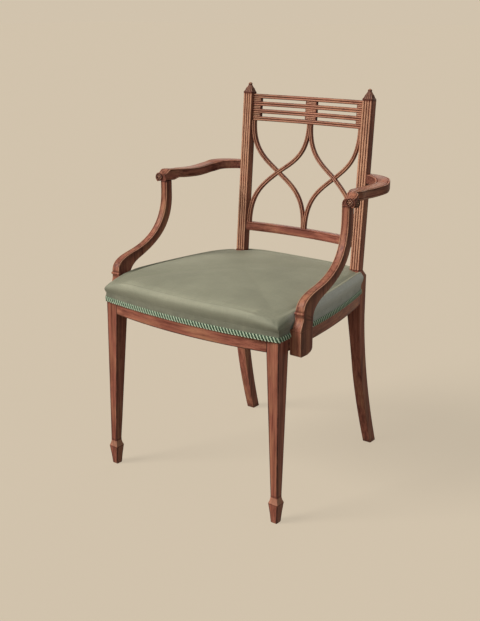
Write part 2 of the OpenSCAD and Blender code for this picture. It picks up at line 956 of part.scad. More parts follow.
module arm_screw(grow) {
    translate([stile_in_x + arm_screw_set, arm_join_y, arm_join_z])
        screw_or_hole(arm_screw_l, arm_screw_set + 10 * past, grow);
}

module arm_screws() {
    place()
        color(steel) {
            arm_screw(0);
            mirrored()
                arm_screw(0);
        }
}

// Arm supports: a foot block on the side rail, a beaded neck and an S-shaped post under the arm
block_y = front_leg_d + 3.5;
block_back_y = block_y + block_d;
block_out_x = leg_x + block_out;
block_low = rail_z - 10;
// The neck stands outside the leg's outer face and behind the block's front
neck_in_x = leg_x + 5.5;
neck_y = block_y + 10;
// The cove ends below the bead and the post starts above it
neck_z = collar_z - 6;
post_z = collar_z + 4;
// The post's top lies under the arm's tip, a little back and out from its middle
post_front_y = arm_tip_y + 1.5;
post_back_y = post_front_y + support_d;
post_out_x = tip_x + 2;
post_in_x = post_out_x - support_w;

// Shares along the way from the neck to the arm, in Y and in Z
function post_at(y0, y1, sy, sz) = [lerp(y0, y1, sy), lerp(post_z, arm_z, sz)];
post_front = concat(
    curve([post_at(neck_y, post_front_y, 0, 0), post_at(neck_y, post_front_y, 0, 0.13),
        post_at(neck_y, post_front_y, 0.14, 0.17), post_at(neck_y, post_front_y, 0.35, 0.21)], 7),
    curve([post_at(neck_y, post_front_y, 0.35, 0.21), post_at(neck_y, post_front_y, 0.73, 0.285),
        post_at(neck_y, post_front_y, 1.02, 0.46), post_at(neck_y, post_front_y, 1, 0.94)], 9)
);
post_back = concat(
    curve([[block_back_y, lerp(block_top, post_z, 0.45)], post_at(block_back_y, post_back_y, 0, -0.02),
        post_at(block_back_y, post_back_y, 0.1, 0.06), post_at(block_back_y, post_back_y, 0.24, 0.105)], 6),
    curve([post_at(block_back_y, post_back_y, 0.24, 0.105), post_at(block_back_y, post_back_y, 0.69, 0.24),
        post_at(block_back_y, post_back_y, 1.02, 0.41), post_at(block_back_y, post_back_y, 1, 0.86)], 9)
);
block_foot = curve([[block_back_y, block_low + 12], [block_back_y, block_low + 6],
    [block_back_y - 8, block_low + 2], [block_back_y - 18, block_low]], 5);
neck_cove = curve([[block_y, block_top], [block_y + 3, block_top + 12], [neck_y, block_top + 14],
    [neck_y, neck_z]], 6);
support_side = concat(
    [[block_y + 3, block_low], [block_y, block_low + 4]], neck_cove, post_front, [[post_front_y, arm_z]],
    [[post_back_y, arm_z]], reversed(post_back), block_foot
);
post_front_view = concat(
    [[neck_in_x, block_top], [neck_in_x, post_z]],
    curve([[neck_in_x, post_z], [neck_in_x + 6, lerp(post_z, arm_z, 0.2)],
        [post_in_x, lerp(post_z, arm_z, 0.5)], [post_in_x, lerp(post_z, arm_z, 0.85)]], 8),
    [[post_in_x, arm_z], [post_out_x, arm_z]],
    reversed(curve([[block_out_x, post_z], [block_out_x + 2, lerp(post_z, arm_z, 0.2)],
        [post_out_x, lerp(post_z, arm_z, 0.5)], [post_out_x, lerp(post_z, arm_z, 0.85)]], 8)),
    [[block_out_x, block_low - past], [0, block_low - past], [0, block_top]]
);
bead_r = 3;
// How far the bead stands proud of the neck's front and outer faces
bead_out = [bead_r - 0.8, 1.2];
post_tenon = [9, 10, 11];

module support_tenon(grow) {
    x = (post_in_x + post_out_x) / 2;
    y = (post_front_y + post_back_y) / 2;
    box([x - post_tenon[0] / 2 - grow, x + post_tenon[0] / 2 + grow],
        [y - post_tenon[1] / 2 - grow, y + post_tenon[1] / 2 + grow],
        [arm_z - past, arm_z + post_tenon[2] + grow]);
}

module arm_support_right() {
    place()
        color(mahogany)
            difference() {
                union() {
                    intersection() {
                        plate_yz(support_side, 0, block_out_x + 20);
                        plate_xz(post_front_view, block_y - 10, post_back_y + 20);
                    }
                    translate([neck_in_x, neck_y + bead_r - bead_out[0], collar_z])
                        rotate([0, 90, 0])
                            cylinder(r = bead_r, h = block_out_x + bead_out[1] - neck_in_x, $fn = 32);
                    support_tenon(0);
                }
                side_ring(0, block_top + past);
                support_screws(joint_gap);
            }
}

module arm_support_left() {
    mirrored()
        arm_support_right();
}

// The screws go in above the front corner block, from the rail's inner face
support_screw_z = rail_z + 0.69 * rail_h;
support_screw_y = [lerp(block_y, block_back_y, 0.29), lerp(block_y, block_back_y, 0.73)];
// How far they reach into the foot block
support_bite = 14;
support_screw_l = rail_t + support_bite;

module support_screws(grow) {
    for (y = support_screw_y)
        translate([side_x(y, -rail_t) - joint_gap, y, support_screw_z])
            screw_or_hole(support_screw_l, 10 * past, grow);
}

module arm_support_screws() {
    place()
        color(steel) {
            support_screws(0);
            mirrored()
                support_screws(0);
        }
}

// Rosettes on the arm's tip, one facing forward and one outward
rosette_x = tip_x + (arm_tip_w - rosette_d) / 2 - 1.5;
rosette_z = arm_z + rosette_d / 2 - 0.3;
rosette_out_x = tip_x + arm_tip_w / 2;
rosette_in = rosette_d / 2 + 0.5;
// Film of glue behind a rosette
glue = 0.1;

// A ring round a boss: share of the radius, share of the thickness
rosette_shape = [[0, 0], [1, 0], [1, 0.5], [0.84, 0.8], [0.68, 0.5], [0.4, 0.6], [0.28, 1], [0, 1]];

module rosette() {
    rotate_extrude($fn = 48)
        polygon([for (p = rosette_shape) [p[0] * rosette_d / 2, p[1] * rosette_t]]);
}

module rosettes_right() {
    place()
        color(mahogany_dark) {
            translate([rosette_x, arm_tip_y - glue, rosette_z])
                rotate([90, 0, 0])
                    rosette();
            translate([rosette_out_x + glue, arm_tip_y + rosette_in, rosette_z])
                rotate([0, 90, 0])
                    rosette();
        }
}

module rosettes_left() {
    mirrored()
        rosettes_right();
}

// Webbing on top of the rails
web_cols = 4;
web_rows = 3;
// Clear width between the outer strips and the back legs, and clear depth behind the last row
web_side_gap = 22;
web_back_gap = 30;
web_x = [for (i = [0 : web_cols - 1])
    lerp(-1, 1, i / (web_cols - 1)) * (back_leg_in_x - web_w / 2 - web_side_gap)];
web_y = [for (i = [0 : web_rows - 1])
    lerp(block_back_y + 20, seat_d - web_w / 2 - web_back_gap, i / (web_rows - 1))];
// The strips end this far inside the rails' outer faces
web_edge = 4;
tack_d = 1.6;
tack_head_d = 5;
tack_head_h = 0.6;
tack_l = 9;
// Distance of a tack from its strip's middle line, as a share of the strip's width
tack_spread = 0.3;
tack_top = rail_top + 2 * web_t;

module web_column(x) {
    intersection() {
        box([x - web_w / 2, x + web_w / 2], [-front_bow, seat_back_y - web_edge],
            [rail_top, rail_top + web_t]);
        translate([0, front_c, 0])
            cylinder(r = front_r - web_edge, h = tack_top, $fn = 200);
    }
}

module web_row(y) {
    intersection() {
        box([-big, big], [y - web_w / 2, y + web_w / 2], [rail_top + web_t, tack_top]);
        side_ring(web_edge, tack_top);
        mirrored()
            side_ring(web_edge, tack_top);
    }
}

// A tack whose head lies on a strip at height top
module tack(x, y, top, grow) {
    translate([x, y, top - tack_l - grow]) {
        cylinder(d = tack_d + 2 * grow, h = tack_l + grow, $fn = 16);
        translate([0, 0, tack_l + grow - (grow > 0 ? past : 0)])
            cylinder(d = grow > 0 ? tack_d + 2 * grow : tack_head_d,
                h = grow > 0 ? 2 * past : tack_head_h, $fn = 24);
    }
}

module web_tacks(grow) {
    for (x = web_x, k = [-1, 1])
        let (tx = x + k * web_w * tack_spread) {
            tack(tx, front_c - sqrt(pow(front_r - rail_t / 2, 2) - tx * tx), rail_top + web_t, grow);
            tack(tx, back_rail_y + rail_t / 2, rail_top + web_t, grow);
        }
    for (y = web_y, k = [-1, 1], side = [-1, 1])
        let (ty = y + k * web_w * tack_spread)
            tack(side * side_x(ty, -rail_t / 2), ty, tack_top, grow);
}

module webbing_front_to_back() {
    place()
        color(jute)
            difference() {
                for (x = web_x)
                    web_column(x);
                web_tacks(joint_gap);
            }
}

module webbing_side_to_side() {
    place()
        color(jute)
            difference() {
                for (y = web_y)
                    web_row(y);
                web_tacks(joint_gap);
            }
}

module webbing_tacks() {
    place()
        color(steel)
            web_tacks(0);
}

// Seat outline: d is the distance outside the frame's faces
front_steps = 16;
side_steps = 12;
back_steps = 6;
side_y = [for (i = [0 : side_steps]) lerp(front_leg_d, seat_d, i / side_steps)];

function nose(x, d) = -front_bow * (1 - pow(x / (leg_x + d), 2)) - d;
function side_edge(y, d) = max(side_x(y, d), back_x + d);
function outline(d) = concat(
    [for (i = [0 : front_steps]) let (x = lerp(-1, 1, i / front_steps) * (leg_x + d)) [x, nose(x, d)]],
    [for (y = side_y) [side_edge(y, d), y]],
    [for (i = [0 : back_steps]) [lerp(1, -1, i / back_steps) * (back_x + d), seat_back_y + d]],
    [for (y = reversed(side_y)) [-side_edge(y, d), y]]
);

// Padded form: rings from the lower edge, over the roll and up to the crown
// Each ring holds its share of the way to the middle, its bulge outward and its height
roll_z = crown_z - 14;
rings = [
    [0, 0, rail_top - 6], [0, 1.6, rail_top + 4], [0.004, 2.2, rail_top + 14], [0.018, 0.8, roll_z - 7],
    [0.055, 0, roll_z - 1.5], [0.13, 0, roll_z + 3], [0.28, 0, roll_z + 7], [0.52, 0, roll_z + 11.5]
];
seat_mid = [0, (seat_back_y - front_bow) / 2];

// Corners pull the cloth down, most at the roll: the drop at the front and at the back, and its reach
corner_drop = [7, 7.7];
corner_reach = [130, 120];
function pull(drop, reach, away) = drop * pow(max(0, 1 - away / reach), 2);
function corner_pull(p) =
    pull(corner_drop[0], corner_reach[0], norm([abs(p[0]) - leg_x, p[1]]))
    + pull(corner_drop[1], corner_reach[1], norm([abs(p[0]) - back_x, p[1] - seat_back_y]));
function ring(r, d, lower) = [for (q = outline(d + r[1]))
    let (p = [lerp(q[0], seat_mid[0], r[0]), lerp(q[1], seat_mid[1], r[0])])
    [p[0], p[1], r[2] - lower - corner_pull(q) * (r[2] > rail_top + 6 ? 1 - r[0] : 0)]];

// d grows the form outward, lower drops its top, z0 is its flat underside, skip leaves out rings
module padded_form(d, lower, z0, skip) {
    n = len(outline(0));
    m = len(rings) - skip;
    points = concat(
        [for (q = outline(d)) [q[0], q[1], z0]],
        [for (i = [skip : len(rings) - 1], p = ring(rings[i], d, lower)) p],
        [[seat_mid[0], seat_mid[1], crown_z - lower], [seat_mid[0], seat_mid[1], z0]]
    );
    top = (m + 1) * n;
    faces = concat(
        [for (k = [0 : m - 1], i = [0 : n - 1]) let (j = (i + 1) % n)
            [k * n + i, (k + 1) * n + i, k * n + j]],
        [for (k = [0 : m - 1], i = [0 : n - 1]) let (j = (i + 1) % n)
            [k * n + j, (k + 1) * n + i, (k + 1) * n + j]],
        [for (i = [0 : n - 1]) let (j = (i + 1) % n) [m * n + i, top, m * n + j]],
        [for (i = [0 : n - 1]) let (j = (i + 1) % n) [j, top + 1, i]]
    );
    polyhedron(points, faces);
}

hessian_z = tack_top + tack_head_h;
hessian_t = 0.8;

module back_leg_notches() {
    for (side = [-1, 1])
        box(side > 0 ? [back_leg_in_x - cloth_gap, big] : [-big, -back_leg_in_x + cloth_gap],
            [seat_d - cloth_gap, big], [0, big]);
}

module hessian() {
    place()
        color(jute)
            difference() {
                translate([0, 0, hessian_z])
                    linear_extrude(hessian_t)
                        polygon(outline(-web_edge));
                back_leg_notches();
            }
}

module stuffing() {
    place()
        color(hair)
            difference() {
                padded_form(-cloth_gap, cloth_t + cloth_gap, hessian_z + hessian_t, 2);
                back_leg_notches();
            }
}

module block_notches() {
    for (side = [-1, 1])
        box(side > 0 ? [leg_in_x, big] : [-big, -leg_in_x],
            [block_y - cloth_gap, block_back_y + cloth_gap], [0, block_top + cloth_gap]);
}

module seat_cover() {
    place()
        color(green)
            difference() {
                padded_form(cloth_gap + cloth_t, 0, hem_z, 0);
                padded_form(cloth_gap, cloth_t, hem_z - past, 0);
                back_leg_notches();
                block_notches();
            }
}

// Braid along the cover's lower edge
gimp_in = cloth_gap + cloth_t + cloth_gap;

module gimp_ring() {
    translate([0, 0, hem_z])
        linear_extrude(gimp_h)
            difference() {
                polygon(outline(gimp_in + gimp_t));
                polygon(outline(gimp_in));
            }
}

module gimp_front() {
    place()
        color(braid_green)
            intersection() {
                gimp_ring();
                box([-big, big], [-big, block_y - cloth_gap], [0, big]);
            }
}

module gimp_right() {
    place()
        color(braid_green)
            intersection() {
                gimp_ring();
                box([0, big], [block_back_y + cloth_gap, seat_d - cloth_gap], [0, big]);
            }
}

module gimp_left() {
    mirrored()
        gimp_right();
}

module gimp_back() {
    place()
        color(braid_green)
            intersection() {
                gimp_ring();
                box([-back_leg_in_x + cloth_gap, back_leg_in_x - cloth_gap], [seat_d, big], [0, big]);
            }
}

front_leg_right();
front_leg_left();
back_leg_right();
back_leg_left();
front_rail();
back_rail();
side_rail_right();
side_rail_left();
front_corner_block_right();
front_corner_block_left();
back_corner_block_right();
back_corner_block_left();
corner_block_screws();
finial_right();
finial_left();
crest_slat_1();
crest_slat_2();
crest_slat_3();
crest_slat_4();
crest_spacers_middle();
crest_spacers_right();
crest_spacers_left();
lattice_bar_1();
lattice_bar_2();
lattice_bar_3();
lattice_bar_4();
low_rail();
arm_right();
arm_left();
arm_support_right();
arm_support_left();
rosettes_right();
rosettes_left();
arm_screws();
arm_support_screws();
webbing_front_to_back();
webbing_side_to_side();
webbing_tacks();
hessian();
stuffing();
seat_cover();
gimp_front();
gimp_right();
gimp_left();
gimp_back();
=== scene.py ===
"""Looks of an open armchair with a lattice back, serpentine arms and a stuff-over seat."""

import math

import bmesh
import bpy
import numpy as np
from bpy.props import FloatProperty, FloatVectorProperty, IntProperty, PointerProperty
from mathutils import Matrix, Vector


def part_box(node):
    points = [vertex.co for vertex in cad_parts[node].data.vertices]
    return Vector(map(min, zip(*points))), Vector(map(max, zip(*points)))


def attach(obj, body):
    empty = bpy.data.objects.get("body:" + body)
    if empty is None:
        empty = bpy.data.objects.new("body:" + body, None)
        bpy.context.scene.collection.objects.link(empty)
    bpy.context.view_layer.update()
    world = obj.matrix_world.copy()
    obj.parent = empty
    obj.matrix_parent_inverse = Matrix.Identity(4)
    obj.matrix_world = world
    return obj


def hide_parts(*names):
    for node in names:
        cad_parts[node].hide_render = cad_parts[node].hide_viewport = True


bl_info = {
    "name": "Lattice-back armchair",
    "version": (1, 0, 0),
    "blender": (4, 5, 0),
    "location": "View3D > Sidebar > Armchair",
    "description": "Builds an open armchair with a reeded lattice back and a padded seat",
    "category": "Object",
}

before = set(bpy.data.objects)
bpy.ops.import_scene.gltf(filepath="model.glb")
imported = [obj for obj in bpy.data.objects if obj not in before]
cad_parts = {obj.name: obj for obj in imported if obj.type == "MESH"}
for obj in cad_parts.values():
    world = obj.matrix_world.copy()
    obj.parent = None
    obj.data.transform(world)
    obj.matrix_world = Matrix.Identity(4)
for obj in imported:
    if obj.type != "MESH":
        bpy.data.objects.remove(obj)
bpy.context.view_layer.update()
BODY = "root"

# Units: sizes below are in millimetres, and Blender's are metres
MM = 0.001
FULL_TURN = 6.2832

# Seat frame. X is across, Y runs back from the front legs' faces and Z is up, as in the frame's design
SEAT_FRONT_W = 486
SEAT_BACK_W = 380
SEAT_D = 407
RAIL_T = 22
FRONT_BOW = 20
SIDE_BOW = 12
BACK_RAIL_SET = 1.5
RAIL_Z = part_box("back_rail")[0].z / MM
RAIL_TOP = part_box("back_rail")[1].z / MM
MID_Y = SEAT_D + BACK_RAIL_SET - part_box("back_rail")[0].y / MM

# Front legs. The spade foot is widest at SPADE_Z, and the taper starts at TAPER_Z
FRONT_LEG_W, FRONT_LEG_D = 31, 35
ANKLE_W = 18.5
SPADE_Z, TAPER_Z, TAPER_W = 45, 62, 15.5
FRONT_SPLAY = 2.5

# Back legs and stiles. The legs start to sweep back at TURN_Z, and are narrower below KNEE_Z
STILE_W, STILE_D, REED_OUT = 26, 17.5, 3
STILE_STEP = 7.5
STILE_L = 405
REEDS = 4
SHOULDER_Z, SHOULDER_H = 450, 12
RAKE = math.radians(4.5)
BACK_LEG_D, HEEL_W = 25, 21
SWEEP, SWEEP_EASE = 69, 1.7
BACK_SPLAY, KNEE_IN = 5, 10
TURN_Z, KNEE_Z = RAIL_Z - 32, RAIL_Z - 177

# Back
BACK_BOW = 22
SLAT_SET, SLAT_H, SLAT_GAP, SLAT_T, SLATS = 6, 10.6, 7.4, 11, 4
CREST_DROP = 1
MID_SPACER_W, SIDE_SPACER_W, SPACER_SET = 31, 20, 1.5
LOW_RAIL_UP, LOW_RAIL_H, LOW_RAIL_T, LOW_RAIL_SET = 65.5, 21, 19, 1
BAR_W, BAR_T, BAR_PROUD = 9.5, 8.5, 1.5
BAR_MID_X = 2.5
CROSS_X, CROSS_UP = 81.5, 0.52
FINIAL_H = 26

# Arms and their supports
ARM_Z, ARM_T, ARM_RISE, ARM_W = 656, 20.5, 12, 34
ELBOW_OUT, TIP_OUT, ARM_TIP_Y, ARM_TIP_W = 66, 20.5, 217, 31
BLOCK_OUT, BLOCK_SET, BLOCK_D, BLOCK_TOP, BLOCK_DROP = 27.5, 3.5, 45, 428, 10
COLLAR_Z = 461
SUPPORT_W, SUPPORT_D = 19, 20
ROSETTE_D, ROSETTE_T = 19, 2.4

# Upholstery
HEM_Z, CROWN_Z, GAP = 409.5, 483, 0.15
COVER_OUT, GIMP_OUT = 1.35, 1.7
# The cover is made this much lower on top, because its stuffing then swells by up to as much
SWELL = 2
GIMP_H, GIMP_T = 11.5, 1.8
GIMP_TOP = HEM_Z + GIMP_H
WEB_W, WEB_T, WEB_EDGE = 50, 1.2, 4

# Places that follow from those sizes
LEG_X = SEAT_FRONT_W / 2
LEG_IN_X = LEG_X - FRONT_LEG_W
BACK_X = SEAT_BACK_W / 2
STILE_OUT_X = BACK_X - STILE_STEP
STILE_IN_X = STILE_OUT_X - STILE_W
STILE_FULL_D = STILE_D + REED_OUT
SEAT_BACK_Y = SEAT_D + BACK_RAIL_SET + RAIL_T
FRONT_R = (LEG_IN_X ** 2 + FRONT_BOW ** 2) / (2 * FRONT_BOW)
FRONT_C = FRONT_R - FRONT_BOW
BACK_R = (STILE_IN_X ** 2 + BACK_BOW ** 2) / (2 * BACK_BOW)
CREST_UP = STILE_L - CREST_DROP - SLATS * SLAT_H - (SLATS - 1) * SLAT_GAP
LOW_RAIL_TOP = LOW_RAIL_UP + LOW_RAIL_H
LATTICE_H = CREST_UP - LOW_RAIL_TOP
ARM_JOIN_UP = (ARM_Z + ARM_RISE + ARM_T / 2 - SHOULDER_Z) / math.cos(RAKE)
ARM_JOIN_Y = SEAT_D + ARM_JOIN_UP * math.sin(RAKE) + STILE_FULL_D / 2
ARM_X = STILE_OUT_X + ELBOW_OUT
TIP_X = LEG_X + TIP_OUT
HESSIAN_Z = RAIL_TOP + 2 * WEB_T + 0.6
HESSIAN_T = 0.8
MID_SEAT_Y = (SEAT_BACK_Y - FRONT_BOW) / 2

# The camera's place, turn and slope, and its focal length and picture height in pixels
CAMERA_AT = (1.306333, -1.746884, 1.052136)
CAMERA_TURN, CAMERA_SLOPE = math.radians(37.60771), math.radians(17.29975)
FOCAL_PX, PICTURE_H, SENSOR = 969.4145, 621, 36


def _side_arc():
    """Centre and radius of a side rail's outer face in plan: an arc from the front leg to the back leg."""
    a, b = Vector((LEG_X, FRONT_LEG_D)), Vector((BACK_X, SEAT_D))
    along = (b - a).normalized()
    r = ((b - a).length_squared / 4 + SIDE_BOW ** 2) / (2 * SIDE_BOW)
    return (a + b) / 2 + Vector((along.y, -along.x)) * (SIDE_BOW - r), r


SIDE_C, SIDE_R = _side_arc()


# Points and curves
def at(x, y, z):
    """A point of the chair's own frame, in millimetres, as a point of the shared frame, in metres."""
    return Vector((x, y - MID_Y, z)) * MM


def leaning(x, y, up):
    """A point of the leaning plane of the back: y behind the stiles' faces, up along them."""
    return at(x, SEAT_D + y * math.cos(RAKE) + up * math.sin(RAKE),
              SHOULDER_Z - y * math.sin(RAKE) + up * math.cos(RAKE))


def lerp(a, b, t):
    return a + (b - a) * t


def steps(a, b, n):
    """n + 1 values from a to b."""
    return [lerp(a, b, i / n) for i in range(n + 1)]


def own(v):
    """The place of a mesh's point in the chair's own frame, in millimetres."""
    return v.co.x / MM, v.co.y / MM + MID_Y, v.co.z / MM


def smooth(t):
    t = min(max(t, 0), 1)
    return t * t * (3 - 2 * t)


def table(points, x):
    """The value at x of a line through (x, value) points that are sorted by x."""
    if x <= points[0][0]:
        return points[0][1]
    for (x0, v0), (x1, v1) in zip(points, points[1:]):
        if x <= x1:
            return lerp(v0, v1, (x - x0) / (x1 - x0)) if x1 > x0 else v1
    return points[-1][1]


def bezier(a, b, c, d, n):
    """n + 1 points along a cubic curve."""
    out = []
    for i in range(n + 1):
        t = i / n
        s = 1 - t
        out.append(tuple(s ** 3 * p + 3 * s * s * t * q + 3 * s * t * t * r + t ** 3 * w
                         for p, q, r, w in zip(a, b, c, d)))
    return out


def through(points, n):
    """A smooth line through points, with n steps to each span."""
    out = []
    for i in range(len(points) - 1):
        a, b = points[max(i - 1, 0)], points[i]
        c, d = points[i + 1], points[min(i + 2, len(points) - 1)]
        for k in range(n):
            t = k / n
            out.append(tuple(0.5 * (2 * q + (r - p) * t + (2 * p - 5 * q + 4 * r - s) * t * t
                                    + (3 * q - p - 3 * r + s) * t ** 3)
                             for p, q, r, s in zip(a, b, c, d)))
    return out + [tuple(points[-1])]


def spaced(line, n):
    """n + 1 points evenly spaced along a line."""
    lengths = [0]
    for a, b in zip(line, line[1:]):
        lengths.append(lengths[-1] + math.dist(a, b))
    out, k = [], 0
    for i in range(n + 1):
        s = lengths[-1] * i / n
        while k < len(line) - 2 and lengths[k + 1] < s:
            k += 1
        t = (s - lengths[k]) / max(lengths[k + 1] - lengths[k], 1e-9)
        out.append(tuple(lerp(p, q, min(max(t, 0), 1)) for p, q in zip(line[k], line[k + 1])))
    return out


def circle(n):
    """The cosine and sine of n angles round a circle."""
    return [(math.cos(2 * math.pi * k / n), math.sin(2 * math.pi * k / n)) for k in range(n)]


def side_x(y, d=0.0):
    """Half width of the seat frame at y, on its arc moved out by d."""
    return SIDE_C.x + math.sqrt((SIDE_R + d) ** 2 - (y - SIDE_C.y) ** 2)


def bowed(x, front, v):
    """Depth behind the stiles' faces of a bowed back piece: its front's set-back and v into the piece."""
    return front + BACK_BOW - BACK_R + math.sqrt((BACK_R + v) ** 2 - x * x)


# Outlines of sections: lists of (u, v, mark), where mark is the patina with painted light, from 1 for dark
# wax and painted shade to -1 for rubbed places and painted highlights
def arc(cx, cy, r, start, end, n, mark=0.0):
    out = []
    for i in range(n + 1):
        a = math.radians(lerp(start, end, i / n))
        out.append((cx + r * math.cos(a), cy + r * math.sin(a), mark))
    return out


def corner(x, y, r, quarter, edge=2.2, mark=1.0):
    """A rounded corner of a rectangle, with a point on each flat that bounds its patina."""
    sx, sy = ((-1, -1), (1, -1), (1, 1), (-1, 1))[quarter]
    cx, cy = x - sx * r, y - sy * r
    turn = arc(cx, cy, r, 180 + 90 * quarter, 270 + 90 * quarter, 3, mark)

    def flat(upright, reach, shade):
        return (x, cy - sy * reach, shade) if upright else (cx - sx * reach, y, shade)

    first = quarter % 2 == 0
    return [flat(first, edge, 0.0), flat(first, 0.35 * edge, 0.7 * mark)] + turn \
        + [flat(not first, 0.35 * edge, 0.7 * mark), flat(not first, edge, 0.0)]


def soft_box(x0, x1, y0, y1, r):
    """A rectangle with rounded corners."""
    return (corner(x0, y0, r, 0) + corner(x1, y0, r, 1) + corner(x1, y1, r, 2) + corner(x0, y1, r, 3))


def reeded(width, count, n=6, pale=0.08):
    """Reeds along u from 0 to width, their crests at v = 0. pale is the share of their depth that is rubbed
    pale, partly as painted highlight on the crests."""
    pitch = width / count
    r = 0.52 * pitch
    open_angle = math.degrees(math.acos(0.5 * pitch / r))
    out = []
    for i in range(count):
        reed = arc(pitch * (i + 0.5), r, r, 180 + open_angle, 360 - open_angle, n)
        if i:
            reed = reed[1:]
        out += [(u, v, lerp(-1.0, 1.0, smooth((v / r - pale) / 0.45))) for u, v, _ in reed]
        u, v, _ = out[-1]
        out[-1] = (u, v, 1.0)
    out[0] = (out[0][0], out[0][1], 1.0)
    return out


# Meshes
def new_object(name, data):
    piece = bpy.data.objects.new(name, data)
    bpy.context.scene.collection.objects.link(piece)
    return piece


def finish_mesh(bm, name, angle=38):
    """Turns a bmesh into an object at the origin with outward faces, smooth up to angle."""
    bmesh.ops.recalc_face_normals(bm, faces=bm.faces)
    mesh = bpy.data.meshes.new(name)
    bm.to_mesh(mesh)
    bm.free()
    mesh.shade_smooth()
    mesh.set_sharp_from_angle(angle=math.radians(angle))
    return new_object(name, mesh)


def join_rows(bm, rows):
    """Adds the faces between closed rows of as many points each."""
    n = len(rows[0])
    for low, high in zip(rows, rows[1:]):
        for i in range(n):
            bm.faces.new((low[i], low[(i + 1) % n], high[(i + 1) % n], high[i]))


def add_loft(bm, rings, mirror=1):
    """Adds a closed form through rings of (point, mark). mirror is -1 for the chair's left side."""
    layer = bm.verts.layers.float.get("patina_and_painted_light") or bm.verts.layers.float.new("patina_and_painted_light")
    rows = []
    for ring in rings:
        row = []
        for point, mark in ring:
            v = bm.verts.new((point.x * mirror, point.y, point.z))
            v[layer] = mark
            row.append(v)
        rows.append(row)
    join_rows(bm, rows)
    bm.faces.new(rows[0])
    bm.faces.new(rows[-1])


def lofted(name, rings, mirror=1, angle=38):
    bm = bmesh.new()
    add_loft(bm, rings, mirror)
    return finish_mesh(bm, name, angle)


def apply_steps(piece):
    """Keeps what a piece's modifiers make of it as its own plain mesh."""
    seen = piece.evaluated_get(bpy.context.evaluated_depsgraph_get())
    plain = bpy.data.meshes.new_from_object(seen)
    piece.modifiers.clear()
    old = piece.data
    piece.data = plain
    bpy.data.meshes.remove(old)
    return piece


def cut(piece, tools):
    """Cuts other solids out of a piece, and removes them."""
    for tool in tools:
        step = piece.modifiers.new("cut", "BOOLEAN")
        step.operation = "DIFFERENCE"
        step.solver = "EXACT"
        step.object = tool
    apply_steps(piece)
    for tool in tools:
        bpy.data.objects.remove(tool)
    if not piece.data.polygons:
        raise RuntimeError(f"nothing is left of {piece.name} after its cut")
    piece.data.set_sharp_from_angle(angle=math.radians(38))
    return piece


def claim(piece, nodes):
    """Lets a piece ride on the chair and stand for its frame nodes."""
    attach(piece, BODY)
    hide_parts(*nodes)
    return piece


def dress(piece, material, nodes):
    """Gives a piece its one material, and claims its frame nodes."""
    piece.data.materials.clear()
    piece.data.materials.append(material)
    return claim(piece, nodes)


def both_sides(make, node, material):
    """Makes the right and the left piece of a wooden pair."""
    for side, mirror in (("right", 1), ("left", -1)):
        name = f"{node}_{side}"
        dress(make(name, mirror), material, [name])


# Materials
class Tree:
    """Adds and links the nodes of one tree, for a shader or for geometry."""

    def __init__(self, tree):
        self.tree = tree
        tree.nodes.clear()

    def add(self, kind, inputs=None, **settings):
        node = self.tree.nodes.new(kind)
        for key, value in settings.items():
            setattr(node, key, value)
        for key, value in (inputs or {}).items():
            if isinstance(value, bpy.types.NodeSocket):
                self.tree.links.new(value, node.inputs[key])
            else:
                node.inputs[key].default_value = value
        return node

    def get(self, kind, inputs=None, **settings):
        """Adds a node and gives its first output."""
        return self.add(kind, inputs, **settings).outputs[0]

    def link(self, value, sockets, key):
        self.tree.links.new(value, sockets[key])

    def math(self, operation, a, b=0.0, c=0.0, clamp=False):
        return self.get("ShaderNodeMath", {0: a, 1: b, 2: c}, operation=operation, use_clamp=clamp)

    def times(self, a, b):
        return self.math("MULTIPLY", a, b)

    def vector(self, operation, a, b=(0, 0, 0)):
        return self.get("ShaderNodeVectorMath", {0: a, 1: b}, operation=operation)

    def scaled(self, vector, share):
        return self.get("ShaderNodeVectorMath", {0: vector, 3: share}, operation="SCALE")

    def xyz(self, x=0.0, y=0.0, z=0.0):
        return self.get("ShaderNodeCombineXYZ", {0: x, 1: y, 2: z})

    def noise(self, vector, scale, detail=3.0, roughness=0.55):
        return self.get("ShaderNodeTexNoise", {
            "Vector": vector, "Scale": scale, "Detail": detail, "Roughness": roughness})

    def span(self, value, low, high, to_low=0.0, to_high=1.0):
        return self.get("ShaderNodeMapRange", {0: value, 1: low, 2: high, 3: to_low, 4: to_high})

    def mix(self, share, a, b):
        return self.add("ShaderNodeMix", {0: share, 6: a, 7: b}, data_type="RGBA").outputs[2]

    def bump(self, height, strength, distance):
        return self.get("ShaderNodeBump", {"Height": height, "Strength": strength, "Distance": distance})

    def mark(self, name):
        """A named attribute of the mesh."""
        return self.add("ShaderNodeAttribute", attribute_name=name).outputs["Fac"]

    def group(self, name, place, **values):
        return self.add("ShaderNodeGroup", {"Vector": place, **values}, node_tree=shared(name)).outputs

    def seen(self):
        """1 where the camera looks, also through a mirror or glass."""
        rays = self.add("ShaderNodeLightPath").outputs
        direct = self.math("ADD", rays["Is Camera Ray"], rays["Is Glossy Ray"])
        return self.math("ADD", direct, rays["Is Transmission Ray"], clamp=True)


def add_numbers(tree, defaults):
    """Gives a tree its named inputs."""
    for label, default in defaults.items():
        socket = tree.interface.new_socket(label, in_out="INPUT", socket_type="NodeSocketFloat")
        socket.default_value = default


def new_group(name, defaults, outputs):
    """A node group that takes a vector and named numbers, with its input and output sockets."""
    group = bpy.data.node_groups.new(name, "ShaderNodeTree")
    group.interface.new_socket("Vector", in_out="INPUT", socket_type="NodeSocketVector")
    add_numbers(group, defaults)
    for label in outputs:
        group.interface.new_socket(label, in_out="OUTPUT", socket_type="NodeSocketFloat")
    tree = Tree(group)
    return group, tree, tree.add("NodeGroupInput").outputs, tree.add("NodeGroupOutput").inputs


